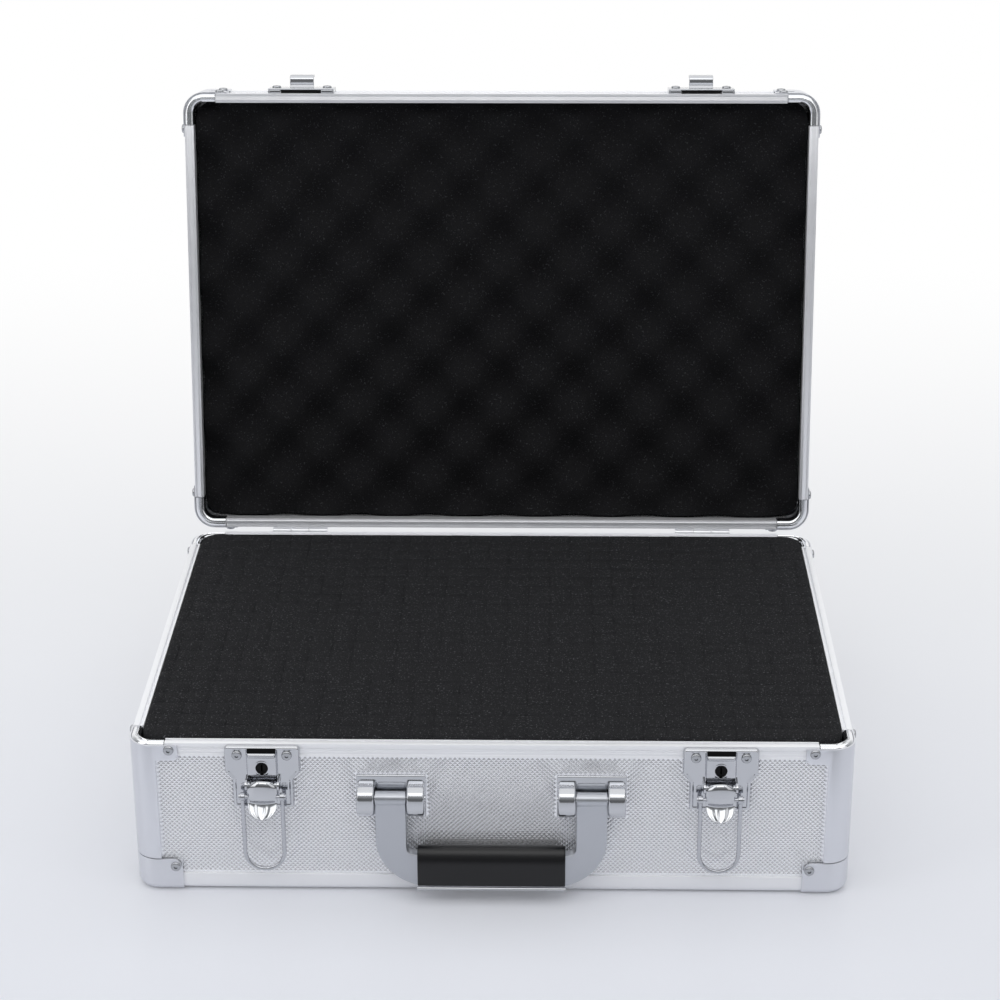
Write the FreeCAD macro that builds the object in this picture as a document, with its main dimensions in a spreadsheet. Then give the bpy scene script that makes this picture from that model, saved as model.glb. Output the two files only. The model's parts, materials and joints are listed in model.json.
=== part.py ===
import FreeCAD, Part
import math
import os
import re

import Sketcher

# An aluminium case with a lid hinged at the back, two draw latches and a drop handle in front.
# The case stands on its ball corners at z = 0, with its front facing -Y and its width along X.
# The lid is drawn shut on the base and then swung open about the hinge pins.

# Driving sizes in millimetres, and one angle in degrees
SIZES = {
    # Shell
    "case_width": 450,
    "case_depth": 316,
    "base_height": 107,
    "lid_height": 43,
    "parting_gap": 0.3,
    "lid_opening_angle": 100.7,
    "panel_thickness": 4,
    "edge_wall": 1.2,
    "corner_radius": 14,
    # Edge extrusions round the bottom and the top
    "edge_leg": 12,
    "edge_round": 5,
    # Rims that meet at the parting plane, with a tongue in the lid and a groove in the base
    "rim_height": 9,
    "rim_web": 3.4,
    "rim_corner_arm": 22.5,
    "groove_setback": 3.7,
    "groove_width": 1.5,
    "groove_depth": 1.6,
    "tongue_gap": 0.25,
    "rib_setback": 2.2,
    "rib_pitch": 2.2,
    "rib_width": 0.8,
    "rib_depth": 0.3,
    # Corner covers
    "corner_sheet": 1,
    "post_width": 16.3,
    "tab_width": 30.5,
    "tab_setback": 1.5,
    "tab_height": 10.5,
    "ball_width": 29.4,
    "ball_height": 23.4,
    # Rivets
    "rivet_head_radius": 3.25,
    "rivet_head_height": 1.5,
    "rivet_head_round": 1.2,
    "rivet_shank_radius": 1.6,
    "rivet_length": 5,
    "rivet_hole_gap": 0.05,
    "mandrel_radius": 1.2,
    "mandrel_depth": 0.9,
    "corner_rivet_inset": 25,
    "tab_rivet_setback": 4.6,
    "ball_rivet_height": 18.4,
    # Foam
    "foam_gap": 0.3,
    "foam_corner": 11,
    "foam_edge_round": 3,
    "foam_proud": 1.7,
    "foam_pad_height": 12,
    "lid_foam_recess": 7,
    "lid_foam_relief": 13,
    "lid_foam_period": 53,
    # Hinges
    "hinge_inset": 77,
    "hinge_length": 40,
    "hinge_leaf_height": 20,
    "hinge_leaf_thickness": 1.2,
    "hinge_knuckle_radius": 2.2,
    "hinge_knuckle_gap": 0.35,
    "hinge_drop": 0.6,
    "hinge_pin_radius": 1,
    "hinge_rivet_spacing": 24,
    "running_gap": 0.05,
    # Handle
    "handle_x": 62.5,
    "handle_pivot_drop": 33.5,
    "handle_pivot_reach": 9.2,
    "handle_length": 62,
    "handle_arm_width": 19.2,
    "handle_thickness": 7,
    "handle_outer_round": 34,
    "handle_inner_round": 5,
    "handle_bar_height": 23,
    "handle_knuckle_radius": 4.6,
    "handle_pin_radius": 2,
    "handle_side_gap": 0.4,
    "grip_length": 92.6,
    "grip_height": 28.5,
    "grip_depth": 12.6,
    "grip_round": 6,
    "grip_lift": 2,
    "grip_gap": 0.1,
    "bracket_width": 43.3,
    "bracket_height": 30,
    "bracket_plate": 2,
    "bracket_drop": 21.5,
    "bracket_ear_radius": 6.2,
    "bracket_ear_round": 5.6,
    "screw_head_radius": 3,
    "screw_head_height": 1,
    "screw_shank_radius": 1.5,
    "screw_length": 7.5,
    # Latches
    "latch_inset": 83,
    "latch_width": 46.8,
    "latch_foot_width": 38,
    "latch_drop": 0.8,
    "latch_height": 43,
    "latch_shoulder": 17.5,
    "latch_taper": 6,
    "latch_stand": 2.5,
    "latch_sheet": 1,
    "latch_rivet_spacing": 31,
    "latch_rivet_setback": 6.8,
    "channel_width": 18.8,
    "channel_stand": 2.5,
    "channel_setback": 1.2,
    "channel_length": 19.5,
    "channel_slot_height": 2.6,
    "channel_lip_radius": 1,
    "key_setback": 14.6,
    "key_radius": 3.4,
    "key_slot_width": 2.2,
    "key_slot_length": 5.4,
    "key_recess": 0.3,
    "lever_width": 18,
    "lever_gap": 0.4,
    "lever_pivot_drop": 26,
    "lever_pivot_reach": 3.7,
    "lever_pin_radius": 1.2,
    "lever_sheet": 1.2,
    "lever_knuckle_radius": 3.3,
    "lever_crown_height": 11,
    "lever_crown_depth": 6,
    "lever_tab_height": 8.6,
    "lever_tab_depth": 3.8,
    "lever_tip_width": 10,
    "lever_shoulder": 3,
    "lever_ear_radius": 3.4,
    "lever_ear_round": 2.8,
    "lever_ear_sheet": 1.2,
    "bail_pivot_drop": 6.8,
    "bail_pivot_reach": 2.4,
    "bail_pin_radius": 1.2,
    "bail_pin_head_radius": 1.9,
    "bail_pin_head_length": 0.8,
    "bail_wire_radius": 1.3,
    "bail_eye_radius": 2.6,
    "bail_eye_margin": 0.1,
    "bail_bend_radius": 9,
    "bail_length": 53.3,
    "bail_side_gap": 0.3,
    # Hooks on the lid
    "hook_plate_setback": 2,
    "hook_plate_height": 20,
    "hook_plate_stand": 3.5,
    "hook_plate_round": 2.5,
    "hook_mouth_width": 28.6,
    "hook_rivet_spacing": 36,
    "hook_width": 17,
    "hook_reach": 4.2,
    "hook_lip_height": 5.6,
    "hook_sheet": 2,
    "hook_gap": 0.4,
    "hook_slack": 2.5,
}

doc = FreeCAD.newDocument("AluminiumCase")
sheet = doc.addObject("Spreadsheet::Sheet", "Sizes")
for row, (alias, size) in enumerate(SIZES.items(), 1):
    sheet.set(f"A{row}", alias)
    sheet.set(f"B{row}", str(size))
    sheet.setAlias(f"B{row}", alias)
doc.recompute()

sub_parts = []


# Formulas and drawing helpers


def formula(text):
    """Point each size that a formula names at its cell in the sheet."""
    return re.sub(r"[a-z]\w*", lambda word: f"Sizes.{word[0]}" if word[0] in SIZES else word[0], text)


def value(text):
    return float(sheet.evalExpression(formula(text)))


def bind(thing, **formulas):
    for name, text in formulas.items():
        thing.setExpression(name.replace("__", "."), formula(text))


def place(thing, x="0", y="0", z="0"):
    bind(thing, Placement__Base__x=x, Placement__Base__y=y, Placement__Base__z=z)


def plus_minus(half):
    return f"-({half})", half


def box(name, x, y, z):
    """A block between two formulas along each axis."""
    solid = doc.addObject("Part::Box", name)
    bind(solid, Length=f"({x[1]}) - ({x[0]})", Width=f"({y[1]}) - ({y[0]})", Height=f"({z[1]}) - ({z[0]})")
    place(solid, x[0], y[0], z[0])
    return solid


def rod_along_x(name, x, y, z, radius):
    solid = doc.addObject("Part::Cylinder", name)
    solid.Placement = FreeCAD.Placement(FreeCAD.Vector(), FreeCAD.Rotation(FreeCAD.Vector(0, 1, 0), 90))
    bind(solid, Radius=radius, Height=f"({x[1]}) - ({x[0]})")
    place(solid, x[0], y, z)
    return solid


def rod_along_y(name, x, y, z, radius):
    solid = doc.addObject("Part::Cylinder", name)
    solid.Placement = FreeCAD.Placement(FreeCAD.Vector(), FreeCAD.Rotation(FreeCAD.Vector(1, 0, 0), -90))
    bind(solid, Radius=radius, Height=f"({y[1]}) - ({y[0]})")
    place(solid, x, y[0], z)
    return solid


def fuse(name, *solids):
    whole = doc.addObject("Part::MultiFuse", name)
    whole.Shapes = list(solids)
    return whole


def group(name, solids):
    whole = doc.addObject("Part::Compound", name)
    whole.Links = list(solids)
    return whole


def cut(name, solid, *tools):
    left = doc.addObject("Part::Cut", name)
    left.Base = solid
    left.Tool = tools[0] if len(tools) == 1 else group(f"{name}_tools", tools)
    return left


def common(name, solid, cell):
    shared = doc.addObject("Part::Common", name)
    shared.Base = solid
    shared.Tool = cell
    return shared


def mirrored(name, solid):
    """The same piece on the other side of the case."""
    copy = doc.addObject("Part::Mirroring", name)
    copy.Source = solid
    copy.Normal = FreeCAD.Vector(1, 0, 0)
    return copy


def sub_part(label, *solids, swings=False):
    """Keep these solids as one named piece, or one named set of like pieces."""
    part = group(label, solids)
    part.Label = label
    if swings:
        bind(part, Placement=LID_SWING)
    sub_parts.append(part)


def unit(step):
    return (step > 1e-9) - (step < -1e-9)


def outline(body, plane, corners, closed=True):
    """Sketch straight sides from corner to corner. A third entry rounds a square corner."""
    sketch = body.newObject("Sketcher::SketchObject", f"{body.Name}_{plane}_outline")
    support = [origin for origin in body.Origin.OriginFeatures if origin.Role == f"{plane}_Plane"]
    sketch.AttachmentSupport = [(support[0], "")]
    sketch.MapMode = "FlatFace"
    places = [FreeCAD.Vector(value(corner[0]), value(corner[1])) for corner in corners]
    ends = []
    for number, corner in enumerate(corners):
        x, y = corner[:2]
        if len(corner) == 2:
            ends.append((x, y, None, None))
            continue
        radius = corner[2]
        for neighbour in (number - 1, (number + 1) % len(corners)):
            step = places[neighbour] - places[number]
            rounding = (radius, places[number]) if neighbour == number - 1 else (None, None)
            ends.append((f"({x}) + {unit(step.x)} * ({radius})", f"({y}) + {unit(step.y)} * ({radius})", *rounding))
    points = [FreeCAD.Vector(value(end[0]), value(end[1])) for end in ends]
    sides = len(ends) if closed else len(ends) - 1
    start_of, end_of = [], []
    for number in range(sides):
        start, end = points[number], points[(number + 1) % len(points)]
        radius, corner = ends[number][2:]
        turns_left = True
        if radius is None:
            side = sketch.addGeometry(Part.LineSegment(start, end))
        else:
            centre = start + end - corner
            side = sketch.addGeometry(Part.Arc(start, centre + (corner - centre) / math.sqrt(2), end))
            turns_left = (start - centre).cross(end - centre).z > 0
        start_of.append((side, 1 if turns_left else 2))
        end_of.append((side, 2 if turns_left else 1))
        if radius is not None:
            bound = sketch.addConstraint(Sketcher.Constraint("Radius", side, value(radius)))
            sketch.setExpression(f"Constraints[{bound}]", formula(radius))
    for number in range(sides - (0 if closed else 1)):
        sketch.addConstraint(Sketcher.Constraint("Coincident", *end_of[number], *start_of[(number + 1) % sides]))
    for number, end in enumerate(ends):
        anchor = start_of[number] if number < sides else end_of[-1]
        for kind, text in zip(("DistanceX", "DistanceY"), end):
            bound = sketch.addConstraint(Sketcher.Constraint(kind, -1, 1, *anchor, value(text)))
            sketch.setExpression(f"Constraints[{bound}]", formula(text))
    return sketch


def prism(name, plane, corners, low, high):
    """Pad an outline between two formulas along the plane's third axis."""
    body = doc.addObject("PartDesign::Body", name)
    pad = body.newObject("PartDesign::Pad", f"{name}_pad")
    pad.Profile = outline(body, plane, corners)
    bind(pad, Length=f"({high}) - ({low})")
    axis, start = {"XY": ("z", low), "XZ": ("y", high), "YZ": ("x", low)}[plane]
    bind(body, **{f"Placement__Base__{axis}": start})
    return body


def turned(name, corners):
    """Turn an outline of radius and height about the Z axis."""
    body = doc.addObject("PartDesign::Body", name)
    turn = body.newObject("PartDesign::Revolution", f"{name}_turn")
    sketch = outline(body, "XZ", corners)
    turn.Profile = sketch
    turn.ReferenceAxis = (sketch, ["V_Axis"])
    turn.Angle = 360
    return body


def round_end(body, at_top, radius):
    """Round the edges at one end of a block that was padded upwards."""
    doc.recompute()
    pad = body.Tip
    level = pad.Shape.BoundBox.ZMax if at_top else pad.Shape.BoundBox.ZMin
    ring = []
    for number, edge in enumerate(pad.Shape.Edges, 1):
        if max(abs(edge.BoundBox.ZMin - level), abs(edge.BoundBox.ZMax - level)) < 1e-6:
            ring.append(f"Edge{number}")
    fillet = body.newObject("PartDesign::Fillet", f"{body.Name}_rounding")
    fillet.Base = (pad, ring)
    bind(fillet, Radius=radius)
    return body


# Places that several pieces share. An inset is measured inwards from the outside of the rims.

HALF_X = "case_width / 2"
HALF_Y = "case_depth / 2"
OUTSIDE = "0"
SHEET_FACE = "-corner_sheet"
PANEL_FACE = "edge_wall"
PANEL_BACK = "(edge_wall + panel_thickness)"
RIM_BACK = "(2 * edge_wall + panel_thickness)"
CLEAR_OF_SHEET = "(2 * corner_sheet)"
FRONT = f"(-{HALF_Y})"
PANEL_FRONT = f"(-{HALF_Y} + edge_wall)"
PANEL_INSIDE = f"(-{HALF_Y} + {PANEL_BACK})"
HINGE_Y = f"({HALF_Y} + hinge_knuckle_radius + hinge_knuckle_gap)"
HINGE_Z = "(base_height + parting_gap / 2 - hinge_drop)"
HINGE_X = f"({HALF_X} - hinge_inset)"
LATCH_X = f"({HALF_X} - latch_inset)"
LID_SWING = (
    "placement(vector(0; 0; 0); rotation(vector(1; 0; 0); -lid_opening_angle);"
    f" vector(0; {HINGE_Y}; {HINGE_Z}))"
)
CORNERS = [("front_left", -1, -1), ("front_right", 1, -1), ("back_right", 1, 1), ("back_left", -1, 1)]


def ordered(sign, near, far):
    """A span from near to far on the positive side of zero, or mirrored to the negative side."""
    return (near, far) if sign > 0 else (f"-({far})", f"-({near})")


def rounded_block(name, inset, low, high):
    """A block with the plan of the case, drawn in by an inset."""
    x, y = f"({HALF_X} - ({inset}))", f"({HALF_Y} - ({inset}))"
    radius = f"(corner_radius - ({inset}))"
    corners = [(f"{sx} * {x}", f"{sy} * {y}", radius) for _, sx, sy in CORNERS]
    return prism(name, "XY", corners, low, high)


def ring(name, outer_inset, inner_inset, low, high):
    """A wall with the plan of the case between two insets."""
    outer = rounded_block(f"{name}_outer", outer_inset, low, high)
    inner = rounded_block(f"{name}_inner", inner_inset, low, high)
    return cut(name, outer, inner)


def corner_cell(name, sx, sy, arm, low, high):
    """The block of space that takes one corner out of a ring."""
    x = ordered(sx, f"{HALF_X} - ({arm})", f"{HALF_X} + {CLEAR_OF_SHEET}")
    y = ordered(sy, f"{HALF_Y} - ({arm})", f"{HALF_Y} + {CLEAR_OF_SHEET}")
    return box(name, x, y, (low, high))


def side_cells(name, arm, depth, low, high):
    """The blocks of space that take the four straight sides out of a ring."""
    along_x = plus_minus(f"({HALF_X} - ({arm}))")
    along_y = plus_minus(f"({HALF_Y} - ({arm}))")
    cells = {}
    for side, sign in (("front", -1), ("back", 1)):
        across = ordered(sign, f"{HALF_Y} - ({depth})", f"{HALF_Y} + {CLEAR_OF_SHEET}")
        cells[side] = box(f"{name}_{side}_cell", along_x, across, (low, high))
    for side, sign in (("left", -1), ("right", 1)):
        across = ordered(sign, f"{HALF_X} - ({depth})", f"{HALF_X} + {CLEAR_OF_SHEET}")
        cells[side] = box(f"{name}_{side}_cell", across, along_y, (low, high))
    return cells


# Rivets and screws


RIVET = turned("rivet_form", [
    ("0", "-rivet_length"),
    ("rivet_shank_radius", "-rivet_length"),
    ("rivet_shank_radius", "0"),
    ("rivet_head_radius", "0"),
    ("rivet_head_radius", "rivet_head_height", "rivet_head_round"),
    ("mandrel_radius", "rivet_head_height"),
    ("mandrel_radius", "rivet_head_height - mandrel_depth"),
    ("0", "rivet_head_height - mandrel_depth"),
])
RIVET_HOLE = turned("rivet_hole_form", [
    ("0", "-rivet_length - rivet_hole_gap"),
    ("rivet_shank_radius + rivet_hole_gap", "-rivet_length - rivet_hole_gap"),
    ("rivet_shank_radius + rivet_hole_gap", "0"),
    ("0", "0"),
])
SCREW = turned("screw_form", [
    ("0", "-screw_length"),
    ("screw_shank_radius", "-screw_length"),
    ("screw_shank_radius", "0"),
    ("screw_head_radius", "0"),
    ("screw_head_radius", "screw_head_height"),
    ("0", "screw_head_height"),
])
SCREW_HOLE = turned("screw_hole_form", [
    ("0", "-screw_length - rivet_hole_gap"),
    ("screw_shank_radius + rivet_hole_gap", "-screw_length - rivet_hole_gap"),
    ("screw_shank_radius + rivet_hole_gap", "0"),
    ("0", "0"),
])
FACING = {
    "-y": FreeCAD.Rotation(FreeCAD.Vector(1, 0, 0), 90),
    "+y": FreeCAD.Rotation(FreeCAD.Vector(1, 0, 0), -90),
    "+x": FreeCAD.Rotation(FreeCAD.Vector(0, 1, 0), 90),
    "-x": FreeCAD.Rotation(FreeCAD.Vector(0, 1, 0), -90),
}


def copies(name, form, seats):
    """Copies of a form on their seats, each a place and the way that the head faces."""
    made = []
    for number, (x, y, z, facing) in enumerate(seats, 1):
        copy = doc.addObject("App::Link", f"{name}_{number}")
        copy.LinkedObject = form
        copy.Placement = FreeCAD.Placement(FreeCAD.Vector(), FACING[facing])
        place(copy, x, y, z)
        made.append(copy)
    return made


def corner_rivet_seats(level, height):
    """Seats on both faces of each corner, on the post's tab and on the ball corner."""
    seats = []
    for setback in ("tab_rivet_setback", f"{height} - ball_rivet_height"):
        for _, sx, sy in CORNERS:
            x_face, y_face = f"{sx} * ({HALF_X} + corner_sheet)", f"{sy} * ({HALF_Y} + corner_sheet)"
            x_in, y_in = f"{sx} * ({HALF_X} - corner_rivet_inset)", f"{sy} * ({HALF_Y} - corner_rivet_inset)"
            seats.append((x_in, y_face, level(setback), "+y" if sy > 0 else "-y"))
            seats.append((x_face, y_in, level(setback), "+x" if sx > 0 else "-x"))
    return seats


# Hardware seats on the front and back walls, given by distance from the parting plane


def base_level(distance):
    return f"(base_height - ({distance}))"


def lid_level(distance):
    return f"(base_height + parting_gap + ({distance}))"


def hinge_rivet_seats(level):
    y = f"({HALF_Y} + hinge_leaf_thickness)"
    z = level(HINGE_RIVET_SETBACK)
    return [(f"{side} * {HINGE_X} + {hand} * hinge_rivet_spacing / 2", y, z, "+y")
            for side in (-1, 1) for hand in (-1, 1)]


HINGE_LEAF_START = "(hinge_drop + hinge_knuckle_radius + hinge_knuckle_gap)"
HINGE_RIVET_SETBACK = f"({HINGE_LEAF_START} + hinge_leaf_height / 2 + rim_height / 4)"
LATCH_FACE = f"({FRONT} - latch_stand)"
HOOK_FACE = f"({FRONT} - hook_plate_stand)"
BRACKET_EAR_CENTRE = "((bracket_width / 2 + handle_arm_width / 2 + handle_side_gap) / 2)"

latch_rivet_seats = [
    (f"{side} * {LATCH_X} + {hand} * latch_rivet_spacing / 2", LATCH_FACE, base_level("latch_rivet_setback"), "-y")
    for side in (-1, 1) for hand in (-1, 1)
]
hook_rivet_seats = [
    (f"{side} * {LATCH_X} + {hand} * hook_rivet_spacing / 2", HOOK_FACE,
     lid_level("hook_plate_setback + hook_plate_height / 2"), "-y")
    for side in (-1, 1) for hand in (-1, 1)
]
screw_seats = [
    (f"{side} * handle_x + {hand} * {BRACKET_EAR_CENTRE}", PANEL_INSIDE, base_level("handle_pivot_drop"), "+y")
    for side in (-1, 1) for hand in (-1, 1)
]
base_corner_seats = corner_rivet_seats(base_level, "base_height")
lid_corner_seats = corner_rivet_seats(lid_level, "lid_height")
base_hardware_seats = latch_rivet_seats + hinge_rivet_seats(base_level)
lid_hardware_seats = hook_rivet_seats + hinge_rivet_seats(lid_level)

base_holes = group("base_holes", [
    *copies("base_rivet_hole", RIVET_HOLE, base_corner_seats + base_hardware_seats),
    *copies("base_screw_hole", SCREW_HOLE, screw_seats),
])
lid_holes = group("lid_holes", copies("lid_rivet_hole", RIVET_HOLE, lid_corner_seats + lid_hardware_seats))

sub_part("base_corner_rivets", *copies("base_corner_rivet", RIVET, base_corner_seats))
sub_part("base_hardware_rivets", *copies("base_hardware_rivet", RIVET, base_hardware_seats))
sub_part("handle_screws", *copies("handle_screw", SCREW, screw_seats))
sub_part("lid_corner_rivets", *copies("lid_corner_rivet", RIVET, lid_corner_seats), swings=True)
sub_part("lid_hardware_rivets", *copies("lid_hardware_rivet", RIVET, lid_hardware_seats), swings=True)


# Shell halves


def build_shell(half):
    """Panels, rims, edge extrusions and corner covers of the base or the lid."""
    is_lid = half == "lid"
    level = lid_level if is_lid else base_level
    holes = lid_holes if is_lid else base_holes
    height = f"{half}_height"
    floor_face = f"({height} - corner_sheet)"
    floor_inside = f"({floor_face} - {PANEL_BACK})"

    def between(near, far):
        """The span of heights between two distances from the parting plane."""
        return (level(near), level(far)) if is_lid else (level(far), level(near))

    def keep(name, *solids):
        sub_part(f"{half}_{name}", *solids, swings=is_lid)

    def drilled(name, solid):
        return cut(f"{half}_{name}_drilled", solid, holes)

    def panels():
        tall = between("rim_web", floor_inside)
        along_x = plus_minus(f"({HALF_X} - corner_radius)")
        along_y = plus_minus(f"({HALF_Y} - corner_radius)")
        for side, sign in (("front", -1), ("back", 1)):
            across = ordered(sign, f"{HALF_Y} - {PANEL_BACK}", f"{HALF_Y} - {PANEL_FACE}")
            name = f"{side}_panel"
            keep(name, drilled(name, box(f"{half}_{name}_board", along_x, across, tall)))
        for side, sign in (("left", -1), ("right", 1)):
            across = ordered(sign, f"{HALF_X} - {PANEL_BACK}", f"{HALF_X} - {PANEL_FACE}")
            name = f"{side}_panel"
            keep(name, drilled(name, box(f"{half}_{name}_board", across, along_y, tall)))
        board = between(floor_inside, f"{floor_face} - edge_wall")
        keep("top_panel" if is_lid else "bottom_panel", rounded_block(f"{half}_floor_board", PANEL_BACK, *board))

    def rims():
        band = between(OUTSIDE, "rim_height")
        whole = ring(f"{half}_rim_band", OUTSIDE, RIM_BACK, *band)
        slots = [ring(f"{half}_rim_slot", PANEL_FACE, PANEL_BACK, *between("rim_web", "rim_height"))]
        for number in range(3):
            start = f"rib_setback + {number} * rib_pitch"
            span = between(start, f"{start} + rib_width")
            slots.append(ring(f"{half}_rim_rib_{number}", SHEET_FACE, "rib_depth", *span))
        if not is_lid:
            groove = between(OUTSIDE, "groove_depth")
            slots.append(ring("base_rim_groove", "groove_setback", "groove_setback + groove_width", *groove))
        whole = cut(f"{half}_rim_ring", whole, *slots)
        low, high = band
        if is_lid:
            tongue_tip = "(groove_depth - tongue_gap)"
            inner_side = "groove_setback + groove_width - tongue_gap"
            tongue = ring("lid_rim_tongue", "groove_setback + tongue_gap", inner_side,
                          lid_level(f"-{tongue_tip}"), lid_level(OUTSIDE))
            whole = fuse("lid_rim_with_tongue", whole, tongue)
            low = lid_level(f"-{tongue_tip}")
        for side, cell in side_cells(f"{half}_rim", "rim_corner_arm", RIM_BACK, low, high).items():
            name = f"{side}_rim"
            keep(name, drilled(name, common(f"{half}_{name}_length", whole, cell)))
        bends = []
        for name, sx, sy in CORNERS:
            cell = corner_cell(f"{half}_rim_{name}_cell", sx, sy, "rim_corner_arm", low, high)
            bends.append(drilled(f"rim_{name}", common(f"{half}_rim_{name}", whole, cell)))
        keep("rim_corners", *bends)

    def edges():
        section = [
            (OUTSIDE, floor_face, "edge_round"),
            (OUTSIDE, f"{floor_face} - edge_leg"),
            ("edge_wall", f"{floor_face} - edge_leg"),
            ("edge_wall", floor_inside),
            (PANEL_BACK, floor_inside),
            (PANEL_BACK, f"{floor_face} - edge_wall"),
            ("edge_leg", f"{floor_face} - edge_wall"),
            ("edge_leg", floor_face),
        ]
        runs = (
            ("front", "YZ", -1, HALF_Y, HALF_X),
            ("back", "YZ", 1, HALF_Y, HALF_X),
            ("left", "XZ", -1, HALF_X, HALF_Y),
            ("right", "XZ", 1, HALF_X, HALF_Y),
        )
        for side, plane, sign, reach, run in runs:
            corners = [(f"{sign} * ({reach} - ({corner[0]}))", level(corner[1]), *corner[2:]) for corner in section]
            length = plus_minus(f"({run} - corner_radius)")
            name = f"{side}_edge"
            keep(name, drilled(name, prism(f"{half}_{name}_length", plane, corners, *length)))

    def corner_covers():
        column = between("rim_height", f"{height} - ball_height")
        tab = between("tab_setback", "tab_setback + tab_height")
        tall = between("rim_web", floor_inside)
        cover_ring = ring(f"{half}_post_cover", SHEET_FACE, PANEL_FACE, *column)
        tab_ring = ring(f"{half}_post_tab", SHEET_FACE, OUTSIDE, *tab)
        wall_ring = ring(f"{half}_post_wall", PANEL_FACE, PANEL_BACK, *tall)
        ball = between(f"{height} - ball_height", height)
        lining = between(f"{height} - ball_height", floor_face)
        outer = rounded_block(f"{half}_ball_outer", SHEET_FACE, *ball)
        inner = rounded_block(f"{half}_ball_inner", OUTSIDE, *lining)
        round_end(outer, is_lid, "edge_round + corner_sheet")
        round_end(inner, is_lid, "edge_round")
        ball_shell = cut(f"{half}_ball_shell", outer, inner)
        posts, balls = [], []
        for name, sx, sy in CORNERS:
            pieces = []
            for part, source, arm, span in (
                ("cover", cover_ring, "post_width", column),
                ("tab", tab_ring, "tab_width", tab),
                ("wall", wall_ring, "corner_radius", tall),
            ):
                cell = corner_cell(f"{half}_{part}_{name}_cell", sx, sy, arm, *span)
                pieces.append(common(f"{half}_{part}_{name}", source, cell))
            posts.append(drilled(f"post_{name}", fuse(f"{half}_post_{name}", *pieces)))
            cell = corner_cell(f"{half}_ball_{name}_cell", sx, sy, "ball_width", *ball)
            balls.append(drilled(f"ball_{name}", common(f"{half}_ball_{name}", ball_shell, cell)))
        keep("corner_posts", *posts)
        keep("ball_corners", *balls)

    panels()
    rims()
    edges()
    corner_covers()
    return floor_inside


BASE_FLOOR = build_shell("base")
LID_FLOOR = build_shell("lid")


# Foam


def foam_corners():
    x = f"({HALF_X} - {RIM_BACK} - foam_gap)"
    y = f"({HALF_Y} - {RIM_BACK} - foam_gap)"
    return [(f"{sx} * {x}", f"{sy} * {y}", "foam_corner") for _, sx, sy in CORNERS]


def build_foam():
    """Two layers in the base, and egg-crate foam in the lid."""
    floor = base_level(BASE_FLOOR)
    pad_top = f"({floor} + foam_pad_height)"
    sub_part("base_foam_pad", prism("base_foam_pad_block", "XY", foam_corners(), floor, pad_top))
    block = prism("base_foam_block", "XY", foam_corners(), pad_top, "base_height + foam_proud")
    sub_part("base_foam", round_end(block, True, "foam_edge_round"))
    back = lid_level(LID_FLOOR)
    block = prism("lid_foam_block", "XY", foam_corners(), lid_level("lid_foam_recess"), back)
    relief = doc.addObject("Part::Feature", "lid_foam_relief_space")
    relief.Shape = egg_crate_space()
    sub_part("lid_foam", cut("lid_foam_crate", block, relief), swings=True)


def egg_crate_space():
    """The space below the shut lid's foam: bumps and dips in staggered rows, as a product of two waves."""
    period = value("lid_foam_period")
    half_relief = value("lid_foam_relief / 2")
    middle = value(lid_level("lid_foam_recess")) + half_relief
    half_x = value(HALF_X)
    half_y = value(HALF_Y)
    points_per_period = 8
    columns = round(2 * half_x / period * points_per_period)
    rows = round(2 * half_y / period * points_per_period)
    grid = []
    for column in range(columns + 1):
        x = half_x * (2 * column / columns - 1)
        line = []
        for row in range(rows + 1):
            y = half_y * (2 * row / rows - 1)
            wave = math.cos(2 * math.pi * x / period) * math.cos(2 * math.pi * y / period)
            line.append(FreeCAD.Vector(x, y, middle + half_relief * wave))
        grid.append(line)
    surface = Part.BSplineSurface()
    surface.interpolate(grid)
    return surface.toShape().extrude(FreeCAD.Vector(0, 0, -3 * half_relief))


build_foam()


# Hinges


def hinge_leaf(name, level, direction, spans, bore):
    """A leaf on the back wall with a knuckle at each of the given spans along the pin."""
    heights = [level(HINGE_LEAF_START), level(f"{HINGE_LEAF_START} + hinge_leaf_height")]
    heights = heights if direction > 0 else heights[::-1]
    back = (HALF_Y, f"{HALF_Y} + hinge_leaf_thickness")
    length = (f"{HINGE_X} - hinge_length / 2", f"{HINGE_X} + hinge_length / 2")
    pieces = [box(f"{name}_plate", length, back, heights)]
    for number, span in enumerate(spans):
        web = (level("0"), level(HINGE_LEAF_START)) if direction > 0 else (level(HINGE_LEAF_START), HINGE_Z)
        pieces.append(box(f"{name}_web_{number}", span, back, web))
        pieces.append(rod_along_x(f"{name}_knuckle_{number}", span, HINGE_Y, HINGE_Z, "hinge_knuckle_radius"))
    pin_space = rod_along_x(f"{name}_bore", length, HINGE_Y, HINGE_Z, bore)
    return cut(name, fuse(f"{name}_whole", *pieces), pin_space)


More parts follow.
